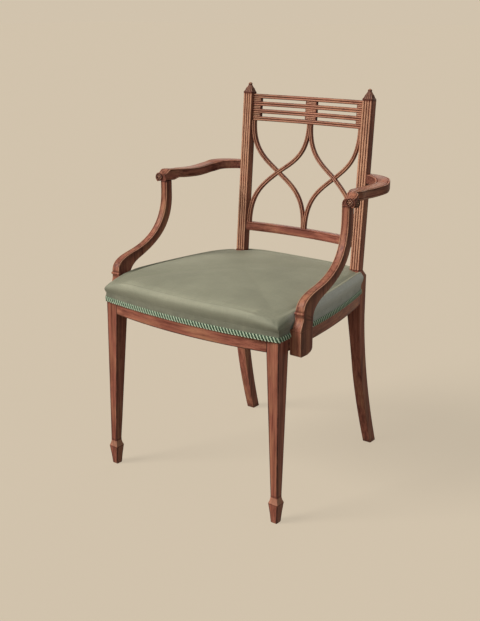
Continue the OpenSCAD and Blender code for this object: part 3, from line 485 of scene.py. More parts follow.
def grain_group():
    """Wood grain that runs along X of its vector: figure, streaks and pores."""
    group, t, given, out = new_group(
        "Wood grain", {"Streaks": 260.0, "Pores": 1400.0, "Wander": 0.006}, ("Figure", "Streak", "Pore"))
    slow = t.add("ShaderNodeTexNoise", {"Vector": given["Vector"], "Scale": 7.0, "Detail": 2.0}).outputs[1]
    wander = t.scaled(t.vector("SUBTRACT", slow, (0.5, 0.5, 0.5)), given["Wander"])
    bent = t.vector("ADD", given["Vector"], wander)
    figure = t.noise(t.vector("MULTIPLY", bent, (0.16, 1, 1)), 42.0, 3.0)
    streak = t.noise(t.vector("MULTIPLY", bent, (0.035, 1, 1)), given["Streaks"], 3.0, 0.65)
    pore = t.noise(t.vector("MULTIPLY", bent, (0.022, 1, 1)), given["Pores"], 1.0)
    t.link(t.span(figure, 0.3, 0.7), out, "Figure")
    t.link(t.span(streak, 0.32, 0.68), out, "Streak")
    t.link(t.span(pore, 0.60, 0.72), out, "Pore")
    return group


def wear_group():
    """Reads the patina attribute, which also carries painted light, broken up a little: dark wax and painted
    shade above 0, and rubbed places and painted highlights below.
    """
    group, t, given, out = new_group("Wax, wear and painted light", {"Strength": 1.0}, ("WaxAndShade", "RubAndHighlight"))
    marks = t.mark("patina_and_painted_light")
    patchy = t.span(t.noise(given["Vector"], 55.0, 3.0), 0.25, 0.7, 0.55, 1.1)
    t.link(t.math("MULTIPLY", t.times(marks, patchy), given["Strength"], clamp=True), out, "WaxAndShade")
    t.link(t.math("MULTIPLY", t.times(marks, -1.0), patchy, clamp=True), out, "RubAndHighlight")
    return group


def cloth_group():
    """A plain weave read from the object's place, laid on each face by the way that it looks."""
    group, t, given, out = new_group("Woven threads", {"Threads": 900.0}, ("Height", "Slub", "Cloud"))
    parts = t.add("ShaderNodeSeparateXYZ", {0: given["Vector"]}).outputs
    normal = t.add("ShaderNodeSeparateXYZ", {0: t.add("ShaderNodeNewGeometry").outputs["Normal"]}).outputs
    upward = t.span(t.math("ABSOLUTE", normal[2]), 0.45, 0.7)
    sideways = t.span(t.math("ABSOLUTE", normal[0]), 0.6, 0.8)
    beside = t.times(sideways, t.math("SUBTRACT", 1.0, upward))
    across = t.get("ShaderNodeMix", {0: beside, 2: parts[0], 3: parts[1]})
    along = t.get("ShaderNodeMix", {0: upward, 2: parts[2], 3: parts[1]})
    turns = t.times(given["Threads"], FULL_TURN)
    warp = t.math("SINE", t.times(across, turns))
    weft = t.math("SINE", t.times(along, turns))
    t.link(t.math("MULTIPLY_ADD", t.times(warp, weft), 0.5, 0.5), out, "Height")
    lines = t.xyz(t.times(across, 0.06), along)
    others = t.xyz(across, t.times(along, 0.06))
    slub = t.math("MAXIMUM", t.noise(lines, 520.0, 2.0), t.noise(others, 560.0, 2.0))
    t.link(t.span(slub, 0.5, 0.75), out, "Slub")
    t.link(t.span(t.noise(given["Vector"], 9.0, 4.0), 0.3, 0.7), out, "Cloud")
    return group


GROUP_MAKERS = {"grain": grain_group, "wear": wear_group, "cloth": cloth_group}
GROUPS = {}
MATERIALS = {}


def shared(name):
    """The shader groups that several materials use, each built once."""
    if name not in GROUPS:
        GROUPS[name] = GROUP_MAKERS[name]()
    return GROUPS[name]


def paint(colour, share=1.0):
    """A colour as a node takes it, made darker or lighter by a share."""
    return (*(share * c for c in colour), 1)


def new_material(name):
    material = bpy.data.materials.new(name)
    material.use_nodes = True
    tree = Tree(material.node_tree)
    place = tree.add("ShaderNodeTexCoord").outputs["Object"]
    return material, tree, place


def close_material(tree, sockets, **constants):
    """Ends a material with its own shader. constants are set on the shader's sockets."""
    shader = tree.add("ShaderNodeBsdfPrincipled", sockets)
    for label, value in constants.items():
        shader.inputs[label.replace("_", " ")].default_value = value
    tree.add("ShaderNodeOutputMaterial", {"Surface": shader.outputs[0]})


def wood(name, dark, light, pale, wax, turn=(0, 0, 0), sheen=(0.42, 0.56), streaks=170.0, pores=0.5,
         coat=0.04, brown=None):
    """Waxed wood. turn brings the grain's direction onto X, pale is the colour of rubbed edges, which also
    serves as painted highlight on crests and fronts, and brown that of patches that the light has faded."""
    material, t, place = new_material(name)
    turned = t.get("ShaderNodeMapping", {"Vector": place, "Rotation": turn})
    grain = t.group("grain", turned, Streaks=streaks)
    wear = t.group("wear", place)
    shade = t.span(t.math("MULTIPLY_ADD", grain["Figure"], 0.4, t.times(grain["Streak"], 0.6)), 0.15, 0.85)
    base = t.mix(shade, paint(dark), paint(light))
    if brown is not None:
        cloud = t.noise(t.vector("MULTIPLY", turned, (0.25, 1, 1)), 38.0, 2.0)
        base = t.mix(t.times(t.span(cloud, 0.45, 0.65, 0.0, 0.75), shade), base, paint(brown))
    pored = t.mix(t.times(grain["Pore"], pores), base, paint(wax))
    # Rubbed places and painted highlights turn pale, and dark wax and painted shade turn dark
    rubbed = t.mix(t.times(wear["RubAndHighlight"], 0.85), pored, paint(pale))
    colour = t.mix(t.times(wear["WaxAndShade"], 0.92), rubbed, paint(wax))
    rough = t.math("ADD", t.span(shade, 0.0, 1.0, *sheen), t.times(wear["WaxAndShade"], 0.12))
    height = t.math("SUBTRACT", t.times(grain["Streak"], 0.3), grain["Pore"])
    close_material(t, {"Base Color": colour, "Roughness": rough, "Normal": t.bump(height, 0.14, 0.0004)},
                   Coat_Weight=coat, Coat_Roughness=0.35, Specular_IOR_Level=0.12)
    return material


def upholstery(name, dark, light, threads, slub=0.25, sheen=0.25, lift=0.0003, side_light=None):
    """Woven cloth: cover, webbing or hessian. flank is a lighter colour painted on the cover's sides as
    painted light.
    """
    material, t, place = new_material(name)
    weave = t.group("cloth", place, Threads=threads)
    wear = t.group("wear", place)
    threaded = t.math("MULTIPLY_ADD", weave["Height"], 0.3, t.times(weave["Slub"], slub))
    base = t.mix(t.math("MULTIPLY_ADD", weave["Cloud"], 0.35, threaded), paint(dark), paint(light))
    # The cover's sides are mixed towards a lighter colour: painted light
    if side_light is not None:
        base = t.mix(t.mark("side_light"), base, t.mix(weave["Slub"], paint(side_light, 0.8), paint(side_light)))
    # On the cover the pale mix is a painted highlight, and the dark mix is painted shade
    rubbed = t.mix(t.times(wear["RubAndHighlight"], 0.8), base, paint(light, 1.35))
    colour = t.mix(t.times(wear["WaxAndShade"], 0.75), rubbed, paint(dark, 0.3))
    rough = t.span(weave["Slub"], 0.0, 1.0, 0.72, 0.86)
    height = t.math("MULTIPLY_ADD", weave["Slub"], 0.5, weave["Height"])
    close_material(t, {"Base Color": colour, "Roughness": rough, "Normal": t.bump(height, 0.35, lift)},
                   Sheen_Weight=sheen, Sheen_Roughness=0.45, Sheen_Tint=paint(light))
    return material


def braid_thread(name, dark, light, twist):
    """Twisted silk threads, read from the braid's own attributes: round the strand and along it."""
    material, t, place = new_material(name)
    round_strand = t.mark("round")
    turns = t.math("MULTIPLY_ADD", t.mark("along"), twist, t.times(round_strand, 2 * FULL_TURN))
    ply = t.math("MULTIPLY_ADD", t.math("SINE", turns), 0.5, 0.5)
    fibre = t.noise(place, 900.0, 2.0)
    # Each cord is painted darker towards its sides, as shade on its round flanks
    side = t.math("ABSOLUTE", t.math("SINE", t.times(round_strand, FULL_TURN)))
    strands = t.math("MULTIPLY_ADD", ply, 0.25, t.math("MULTIPLY_ADD", fibre, 0.3, 0.65))
    shade = t.times(strands, t.span(side, 0.6, 1.0, 1.0, 0.3))
    close_material(t, {"Base Color": t.mix(shade, paint(dark), paint(light)),
                       "Roughness": t.span(fibre, 0.3, 0.7, 0.5, 0.7), "Normal": t.bump(ply, 0.5, 0.0002)},
                   Sheen_Weight=0.3, Sheen_Roughness=0.4)
    return material


def bright_steel(name, colour):
    """Turned steel with a little tarnish."""
    material, t, place = new_material(name)
    tarnish = t.span(t.noise(place, 420.0, 4.0), 0.35, 0.75)
    close_material(t, {"Base Color": t.mix(tarnish, paint(colour), paint((0.20, 0.17, 0.15))),
                       "Roughness": t.span(tarnish, 0.0, 1.0, 0.28, 0.55),
                       "Normal": t.bump(t.noise(place, 2600.0, 2.0), 0.1, 0.0002)}, Metallic=1.0)
    return material


WOOD_TURNS = {"upright": (0, math.radians(90), 0), "across": (0, 0, 0), "depth": (0, 0, math.radians(-90))}


def make_finish(key, looks):
    """A material from its short name and the panel's colours."""
    dark, light, pale, wax = looks.wood_dark, looks.wood_light, looks.wood_pale, looks.wax
    if key in WOOD_TURNS:
        return wood(f"Mahogany {key}", dark, light, pale, wax, WOOD_TURNS[key], brown=looks.wood_brown)
    if key == "carved":
        return wood("Mahogany carved", [0.6 * c for c in dark], [0.45 * c for c in light],
                    [0.8 * c for c in pale], wax, WOOD_TURNS["upright"])
    if key == "beech":
        return wood("Beech", (0.38, 0.23, 0.12), (0.60, 0.42, 0.25), (0.66, 0.5, 0.33), (0.16, 0.09, 0.05),
                    sheen=(0.55, 0.7), streaks=340.0, pores=0.3, coat=0.0)
    if key == "cover":
        return upholstery("Cover cloth", looks.cloth_dark, looks.cloth_light, 900.0, side_light=looks.cloth_side_light)
    if key == "webbing":
        return upholstery("Jute webbing", (0.24, 0.16, 0.08), (0.52, 0.38, 0.22), 420.0, 0.5, 0.1, 0.0006)
    if key == "hessian":
        return upholstery("Hessian", (0.20, 0.14, 0.08), (0.50, 0.38, 0.23), 330.0, 0.5, 0.1, 0.0006)
    if key == "braid":
        return braid_thread("Gimp silk", looks.braid_dark, looks.braid_light, 5200.0)
    if key == "braid ground":
        return upholstery("Gimp ground", (0.022, 0.055, 0.028), (0.07, 0.14, 0.08), 1100.0)
    if key == "steel":
        return bright_steel("Screw steel", (0.55, 0.54, 0.52))
    raise KeyError(key)


def finish_of(key):
    """The chair's materials, each made once."""
    if key not in MATERIALS:
        MATERIALS[key] = make_finish(key, bpy.context.scene.armchair_finish)
    return MATERIALS[key]


# Sizes and colours that a user would change
class ArmchairFinish(bpy.types.PropertyGroup):
    """Colours of the wood, the cover and the braid."""
    wood_light: FloatVectorProperty(
        name="Mahogany light", description="Lightest colour of the wood's grain", subtype="COLOR",
        default=(0.40, 0.142, 0.09), min=0, max=1)
    wood_dark: FloatVectorProperty(
        name="Mahogany dark", description="Darkest colour of the wood's grain", subtype="COLOR",
        default=(0.12, 0.03, 0.02), min=0, max=1)
    # Pale of rubbed crests and edges, used also as painted highlight on crests, beads and fronts
    wood_pale: FloatVectorProperty(
        name="Mahogany rubbed", description="Pale colour of crests and edges that hands have rubbed",
        subtype="COLOR", default=(0.62, 0.34, 0.21), min=0, max=1)
    wood_brown: FloatVectorProperty(
        name="Mahogany faded", description="Browner colour of patches that the light has faded",
        subtype="COLOR", default=(0.39, 0.185, 0.095), min=0, max=1)
    wax: FloatVectorProperty(
        name="Old wax", description="Dark wax left in quirks and along edges", subtype="COLOR",
        default=(0.03, 0.011, 0.009), min=0, max=1)
    cloth_light: FloatVectorProperty(
        name="Cover light", description="Light threads of the seat cover", subtype="COLOR",
        default=(0.36, 0.35, 0.25), min=0, max=1)
    # A lighter colour painted on the cover's sides as painted light
    cloth_side_light: FloatVectorProperty(
        name="Cover sides", description="Lighter colour painted on the cover's sides as light", subtype="COLOR",
        default=(0.66, 0.65, 0.58), min=0, max=1)
    cloth_dark: FloatVectorProperty(
        name="Cover dark", description="Dark threads of the seat cover", subtype="COLOR",
        default=(0.16, 0.165, 0.115), min=0, max=1)
    braid_light: FloatVectorProperty(
        name="Braid light", description="Light threads of the gimp", subtype="COLOR",
        default=(0.72, 0.83, 0.60), min=0, max=1)
    braid_dark: FloatVectorProperty(
        name="Braid dark", description="Dark threads of the gimp", subtype="COLOR",
        default=(0.06, 0.14, 0.075), min=0, max=1)


class ArmchairSizes(bpy.types.PropertyGroup):
    """Sizes of the small forms that the frame leaves to its looks."""
    braid_period: FloatProperty(
        name="Braid period", description="Distance between the bars of the gimp",
        default=0.0078, min=0.003, max=0.03, unit="LENGTH")
    petals: IntProperty(name="Rosette petals", description="Petals round each rosette's boss",
                        default=8, min=5, max=12)
    leaves: IntProperty(name="Finial ribs", description="Carved ribs round each finial",
                        default=16, min=8, max=24)
    arris: FloatProperty(name="Arris", description="Rounding of the legs' and rails' edges",
                         default=0.0012, min=0.0003, max=0.003, unit="LENGTH")


class ArmchairStage(bpy.types.PropertyGroup):
    """Light and ground."""
    ground: FloatVectorProperty(
        name="Ground", description="Colour of the ground as the camera sees it", subtype="COLOR",
        default=(0.64, 0.545, 0.418), min=0, max=1)
    sun: FloatProperty(name="Window light", description="Strength of the soft light from the left",
                       default=2.95, min=0, max=10)
    wall: FloatProperty(name="Wall light", description="Strength of the cool light off the wall at the right",
                        default=0.4, min=0, max=2)
    front: FloatProperty(name="Front light", description="Strength of the low light from in front",
                         default=0.8, min=0, max=2)
    behind: FloatProperty(name="Back light", description="Strength of the soft light from behind the chair",
                          default=0.9, min=0, max=2)
    sky: FloatProperty(name="Room light", description="Strength of the even light all round",
                       default=0.22, min=0, max=2)


# Legs and rails
def rings_at(section, place, extra=-1.0):
    """A section's points put in place by a function of (u, v). extra is the least mark that they get."""
    return [(place(u, v), max(mark, extra)) for u, v, mark in section]


def at_height(z, back=0.0):
    """Puts a section's points (across, depth) at a height, moved back from their own place."""
    return lambda u, v: at(u, back + v, z)


def front_leg(name, mirror):
    """Tapers on its inner sides down to TAPER_Z, and ends in a spade foot that is alike on all sides."""
    foot_mid = ANKLE_W / 2 - FRONT_SPLAY
    r = bpy.context.scene.armchair_sizes.arris / MM
    # The outer faces: height, and the distance in from the seat frame's corner
    faces = [(0, -0.6), (1.2, -1.2), (22, -2.9), (SPADE_Z, -5.5)]
    neck = bezier((-2.0, TAPER_Z), (-2.1, 56), (-3.6, 50.5), (-5.6, 46.5), 6)
    faces += [(z, o) for o, z in reversed(neck)]
    levels = sorted({z for z, _ in faces} | {12, 34, 43, 66, 72, 120, 200, 290, RAIL_Z, RAIL_TOP})
    faces += [(RAIL_Z, 0), (RAIL_TOP, 0)]
    rings = []
    for z in levels:
        o = table(faces, z)
        wide = deep = 2 * foot_mid - o
        if z > TAPER_Z:
            up = smooth((z - TAPER_Z) / 20) * (z - TAPER_Z) / (RAIL_Z - TAPER_Z)
            wide, deep = (lerp(TAPER_W, full, min(up, 1)) for full in (FRONT_LEG_W, FRONT_LEG_D))
        section = soft_box(LEG_X - wide, LEG_X - o, o, deep, r)
        if SPADE_Z + 1 < z < TAPER_Z - 1:
            section = [(u, v, -0.4) for u, v, _ in section]
        dark = {0: 0.8, SPADE_Z: 0.9, TAPER_Z: 0.8}.get(z, -1)
        rings.append(rings_at(section, at_height(z), dark))
    return lofted(name, rings, mirror)


def sabre_y(z):
    """How far the back leg has swept back at a height."""
    return 0 if z >= TURN_Z else SWEEP * ((TURN_Z - z) / TURN_Z) ** SWEEP_EASE


def leg_in(z):
    """How far the back leg's inner face stands out from the stile's."""
    if z >= TURN_Z:
        return 0
    if z >= KNEE_Z:
        return KNEE_IN * (1 - ((z - KNEE_Z) / (TURN_Z - KNEE_Z)) ** 2)
    return lerp(BACK_X + BACK_SPLAY - HEEL_W - STILE_IN_X, KNEE_IN, z / KNEE_Z)


def stile_section(x0, x1, depth, reed=0.0):
    """The stile's section, whose reeds are reed times their full depth."""
    front = [(lerp(x0, x1, u / STILE_W), v * reed, mark * reed) for u, v, mark in reeded(STILE_W, REEDS)]
    front[0] = (x0, front[0][1], 0.7)
    front[-1] = (x1, front[-1][1], 0.7)
    rear = corner(x1, depth, 1.4, 2) + corner(x0, depth, 1.4, 3)
    start, end = (x1, front[-1][1] + 2, 0.0), (x0, front[0][1] + 2, 0.0)
    return front + [start] + rear + [end]


def back_leg(name, mirror):
    """A leg that sweeps back and out, a plain joint with the rails, a shoulder and the leaning stile."""
    rings = []
    for z in steps(0, TURN_Z, 28):
        out_x = lerp(BACK_X + BACK_SPLAY, BACK_X, z / TURN_Z)
        section = stile_section(STILE_IN_X + leg_in(z), out_x, BACK_LEG_D)
        rings.append(rings_at(section, at_height(z, SEAT_D + sabre_y(z)), 0.8 if z == 0 else 0))
    section = stile_section(STILE_IN_X, BACK_X, BACK_LEG_D)
    rings += [rings_at(section, at_height(z, SEAT_D)) for z in (RAIL_Z, 410, 430, SHOULDER_Z - 0.6)]
    for share, dark in ((0, 0.8), (0.06, 0.1), (0.5, 0), (0.94, 0.1), (1, 0.9)):
        section = stile_section(STILE_IN_X, lerp(BACK_X, STILE_OUT_X, share),
                                lerp(BACK_LEG_D, STILE_FULL_D, share))
        rings.append(rings_at(section, at_height(SHOULDER_Z + SHOULDER_H * share, SEAT_D), dark))
    section = stile_section(STILE_IN_X, STILE_OUT_X, STILE_FULL_D, 1.0)
    for up, dark in ((SHOULDER_H + 0.6, 0.8), (SHOULDER_H + 3, -0.8), (100, -1), (200, -1), (300, -1),
                     (STILE_L - 3, -0.8), (STILE_L, 0.7)):
        rings.append(rings_at(section, lambda u, v, up=up: leaning(u, v, up), dark))
    return lofted(name, rings, mirror, 32)


def finial(name, mirror):
    """A square slab, a bell carved with upright ribs, and a ball."""
    shape = [(0, 1), (0.02, 1.03), (0.1, 1.03), (0.15, 0.97), (0.2, 0.89), (0.28, 0.81), (0.38, 0.76),
             (0.48, 0.72), (0.58, 0.62), (0.66, 0.52), (0.73, 0.42), (0.78, 0.37), (0.84, 0.4), (0.9, 0.38),
             (0.95, 0.28), (0.985, 0.15), (1, 0.04)]
    ribs = bpy.context.scene.armchair_sizes.leaves
    x0, y0 = (STILE_IN_X + STILE_OUT_X) / 2, STILE_FULL_D / 2
    heights = [0, 0.004, 0.07, 0.085, 0.1, 0.13]
    heights += [0.13 + 0.63 * i / 22 for i in range(1, 23)] + [0.76 + 0.24 * i / 12 for i in range(1, 13)]
    rings = []
    for h in heights:
        size = table(shape, h)
        power = lerp(14, 2, smooth((h - 0.1) / 0.5))
        cut_in = 0.10 * smooth((h - 0.12) / 0.1) * smooth((0.78 - h) / 0.12)
        ring = []
        for i in range(96):
            a = 2 * math.pi * i / 96
            c, s = math.cos(a), math.sin(a)
            radius = (abs(c) ** power + abs(s) ** power) ** (-1 / power)
            rib = 0.5 + 0.5 * math.cos(ribs * a)
            radius *= 1 - cut_in * (1 - rib) - (0.05 if 0.074 < h < 0.098 else 0)
            mark = (1 - 1.8 * rib) * (cut_in > 0.02) + (0.9 if 0.08 < h < 0.1 or 0.77 < h < 0.83 else 0)
            mark -= 0.7 if h > 0.86 else 0
            ring.append((leaning(x0 + c * radius * size * STILE_W / 2,
                                 y0 + s * radius * size * STILE_FULL_D / 2, STILE_L + h * FINIAL_H),
                         min(mark, 1.0)))
        rings.append(ring)
    return lofted(name, rings, mirror, 45)


def rail(name, u0, u1, places, mirror=1):
    """A rail from u0 to u1 in thickness, whose places put (thickness, height) points in the frame."""
    section = soft_box(u0, u1, RAIL_Z, RAIL_TOP, 1.2)
    return lofted(name, [rings_at(section, place) for place in places], mirror)


def front_rail(name):
    return rail(name, 0, RAIL_T, [
        lambda v, z, x=x: at(x, FRONT_C - math.sqrt((FRONT_R - v) ** 2 - x * x), z)
        for x in steps(-LEG_IN_X, LEG_IN_X, 40)])


def side_rail(name, mirror):
    return rail(name, -RAIL_T, 0, [
        lambda d, z, y=y: at(side_x(y, d), y, z) for y in steps(FRONT_LEG_D, SEAT_D, 40)], mirror)


def back_rail(name):
    y = SEAT_D + BACK_RAIL_SET
    return rail(name, y, y + RAIL_T, [
        lambda v, z, x=x: at(x, v, z) for x in (-STILE_IN_X, 0, STILE_IN_X)])


# Back
def bowed_pieces(name, x0, x1, front, section, ups, n):
    """Like pieces that follow the back's bow between x0 and x1, one at each of ups. front is how far they
    stand behind the stiles' faces, and section holds (height, depth, mark)."""
    bm = bmesh.new()
    for up in ups:
        rings = []
        for i, x in enumerate(steps(x0, x1, n)):
            # Both end rings are darkened: painted shade on the spacers' free ends, and dark joints where
            # slats and rail meet the stiles
            end = 0.9 if i in (0, n) else -1
            rings.append([(leaning(x, bowed(x, front, v), up + u), max(mark, end)) for u, v, mark in section])
        add_loft(bm, rings)
    return finish_mesh(bm, name, 32)


def plain_rear(height, thick):
    """The rounded rear edges of a section that runs (height, depth, mark)."""
    return corner(height, thick, 1, 2, 0.8) + corner(0, thick, 1, 3, 0.8)


def reeded_bar(height, thick, count=2, n=7, rub=0.5):
    """A rectangle with a reeded front, (height, depth, mark), whose crests are rubbed pale, partly as painted
    highlight, by the share rub.
    """
    front = [(u, v, mark if mark > 0 else rub * mark) for u, v, mark in reeded(height, count, n, 0.0)]
    front[0] = (0, front[0][1], 0.8)
    front[-1] = (height, front[-1][1], 0.8)
    start, end = (height, front[-1][1] + 1.2, 0.0), (0, front[0][1] + 1.2, 0.0)
    return front + [start] + plain_rear(height, thick) + [end]


def slat_up(n):
    return CREST_UP + (SLATS - 1 - n) * (SLAT_H + SLAT_GAP)


def crest_slat(name, n):
    section = reeded_bar(SLAT_H, SLAT_T)
    return bowed_pieces(name, -STILE_IN_X, STILE_IN_X, SLAT_SET, section, [slat_up(n)], 64)


def spacers(name, x0, x1):
    # The spacers' fronts are made pale in full: rubbing and painted highlight
    section = reeded_bar(SLAT_GAP, SLAT_T - 2 * SPACER_SET, 2, 6, 1.0)
    ups = [slat_up(n) + SLAT_H for n in range(1, SLATS)]
    return bowed_pieces(name, x0, x1, SLAT_SET + SPACER_SET, section, ups, 8)


def low_rail(name):
    """A bead along the top edge, a quirk under it and a scratched line above the lower edge."""
    h = LOW_RAIL_H
    bead = 1.9
    front = [(0.0, 1.0, 0.7), (0.35, 0.35, 0.7), (1.0, 0.0, 0.3), (2.6, 0.0, 0.0), (3.0, 0.9, 1.0),
             (3.6, 0.0, 0.2), (6, -0.15, 0.0), (h / 2, -0.3, 0.0), (h - 7, -0.15, 0.0), (h - 4.6, 0.0, 0.1),
             (h - 4.0, 1.0, 1.0), (h - 3.5, 0.5, 0.2)]
    front += [(h - bead + bead * math.cos(a), bead - bead * math.sin(a), 0.0)
              for a in (math.radians(150 - 25 * i) for i in range(6))]
    section = front + [(h, 2.0, 0.8), (h, 3.6, 0.0)] + plain_rear(h, LOW_RAIL_T) + [(0, 2.4, 0.0)]
    return bowed_pieces(name, -STILE_IN_X, STILE_IN_X, LOW_RAIL_SET, section, [LOW_RAIL_UP], 56)


def half_bar(x_end, up_end, n=26):
    """A bar's middle line from the crossing to one of its ends."""
    cross_up = LOW_RAIL_TOP + LATTICE_H * CROSS_UP
    dx, dz = x_end - CROSS_X, up_end - cross_up
    return bezier((CROSS_X, cross_up), (CROSS_X + dx * 0.56, cross_up + dz * 0.25),
                  (x_end, cross_up + dz * 0.42), (x_end, up_end), n)


def bar_path(x_low, x_high):
    """A bar's middle line from the low rail up to the lowest slat."""
    low = half_bar(x_low, LOW_RAIL_TOP)
    return low[::-1] + half_bar(x_high, CREST_UP)[1:]


def swept_bar(path, section, front):
    """Rings of a bar: section holds (across, depth, mark), across to the right of the way up."""
    rings = []
    for i, (x, up) in enumerate(path):
        a, b = path[max(i - 1, 0)], path[min(i + 1, len(path) - 1)]
        d = Vector((b[0] - a[0], b[1] - a[1])).normalized()
        ring = []
        for s, v, mark in section:
            px, pu = x + d.y * s, up - d.x * s
            ring.append((leaning(px, bowed(px, front, v), pu), mark))
        rings.append(ring)
    return rings


def lattice_bar(name, path, other, front_half, mirror):
    """A bar along path. front_half tells whether it passes in front of the other where they cross."""
    w = BAR_W / 2
    section = [(u - w, v, mark) for u, v, mark in reeded_bar(BAR_W, BAR_T)]
    bm = bmesh.new()
    add_loft(bm, swept_bar(path, section, SLAT_SET - BAR_PROUD))
    for limit, keep in ((0.1 * MM, 1), (STILE_IN_X * MM, -1)):
        bmesh.ops.bisect_plane(bm, geom=bm.verts[:] + bm.edges[:] + bm.faces[:], dist=1e-7,
                               plane_co=(limit, 0, 0), plane_no=(-keep, 0, 0), clear_outer=True)
        bmesh.ops.holes_fill(bm, edges=[e for e in bm.edges if e.is_boundary], sides=0)
    bar = finish_mesh(bm, name, 32)
    v0, v1 = (BAR_T / 2, BAR_T + 3) if front_half else (-3, BAR_T / 2 + 0.1)
    w += GAP
    tool = bmesh.new()
    middle = len(other) // 2
    lap = [(-w, v0, 0), (w, v0, 0), (w, v1, 0), (-w, v1, 0)]
    add_loft(tool, swept_bar(other[middle - 9:middle + 10], lap, SLAT_SET - BAR_PROUD))
    cut(bar, [finish_mesh(tool, "lap")])
    if mirror < 0:
        turned = bmesh.new()
        turned.from_mesh(bar.data)
        bmesh.ops.scale(turned, vec=(-1, 1, 1), verts=turned.verts)
        bmesh.ops.recalc_face_normals(turned, faces=turned.faces)
        turned.to_mesh(bar.data)
        turned.free()
    bar.data.set_sharp_from_angle(angle=math.radians(32))
    return bar


# Arms
ARM_TOP_Z = ARM_Z + ARM_T
# The arm's top seen from the side, as (y, z), and its middle line from above, as (x, y, width)
ARM_TOP_LINE = through([
    (ARM_TIP_Y, ARM_TOP_Z - 4), (ARM_TIP_Y + 4, ARM_TOP_Z - 0.6), (ARM_TIP_Y + 12, ARM_TOP_Z + 3),
    (ARM_TIP_Y + 26, ARM_TOP_Z + 5.7), (ARM_TIP_Y + 70, ARM_TOP_Z + 3.8),
    (ARM_JOIN_Y - 105, ARM_TOP_Z + 2.5), (ARM_JOIN_Y - 55, ARM_TOP_Z + 0.42 * ARM_RISE),
    (ARM_JOIN_Y - 30, ARM_TOP_Z + 0.85 * ARM_RISE), (ARM_JOIN_Y + STILE_FULL_D, ARM_TOP_Z + ARM_RISE)], 6)
ARM_ROUTE = [
    (STILE_OUT_X - 12, ARM_JOIN_Y, STILE_FULL_D), (STILE_OUT_X + 4, ARM_JOIN_Y, STILE_FULL_D),
    (STILE_OUT_X + 0.4 * ELBOW_OUT, ARM_JOIN_Y - 8, lerp(STILE_FULL_D, ARM_W, 0.55)),
    (ARM_X - 15, ARM_JOIN_Y - 26, lerp(STILE_FULL_D, ARM_W, 0.9)),
    (ARM_X, ARM_JOIN_Y - 54, ARM_W), (ARM_X - 1.5, ARM_JOIN_Y - 90, ARM_W),
    (ARM_X - 4, ARM_JOIN_Y - 125, ARM_W), (ARM_X - 3, ARM_TIP_Y + 73, ARM_W),
    (ARM_X + 0.5, ARM_TIP_Y + 55, ARM_W - 1), (ARM_X + 2, ARM_TIP_Y + 42, ARM_W - 9),
    (TIP_X - 9, ARM_TIP_Y + 31, ARM_W - 14), (TIP_X - 1, ARM_TIP_Y + 18, ARM_TIP_W - 2),
    (TIP_X, ARM_TIP_Y + 6, ARM_TIP_W), (TIP_X, ARM_TIP_Y - 6, ARM_TIP_W)]


def arm_profile(w, h):
    """Half of the arm's section, from the middle of its top to the middle of its underside."""
    return [(0.0, 0.5, -0.15), (w / 2 - 7, 0.3, -0.1), (w / 2 - 5.2, 0.1, 0.4), (w / 2 - 4.4, -0.9, 1.0),
            (w / 2 - 3.6, -0.2, 0.5), (w / 2 - 2.4, 0.1, -0.5), (w / 2 - 1.1, -0.2, -0.5),
            (w / 2 - 0.3, -1.0, 0.3), (w / 2, -2.2, 1.0), (w / 2, -4.4, 0.3), (w / 2, -h + 7.0, 0.0),
            (w / 2, -h + 5.2, 0.6), (w / 2 - 0.8, -h + 4.5, 1.0), (w / 2, -h + 3.7, -0.2),
            (w / 2, -h + 2.2, -0.4), (w / 2 - 0.5, -h + 0.6, 0.8), (w / 2 - 1.6, -h, 1.0),
            (w / 2 - 4, -h, 0.3), (0.0, -h, 0.0)]


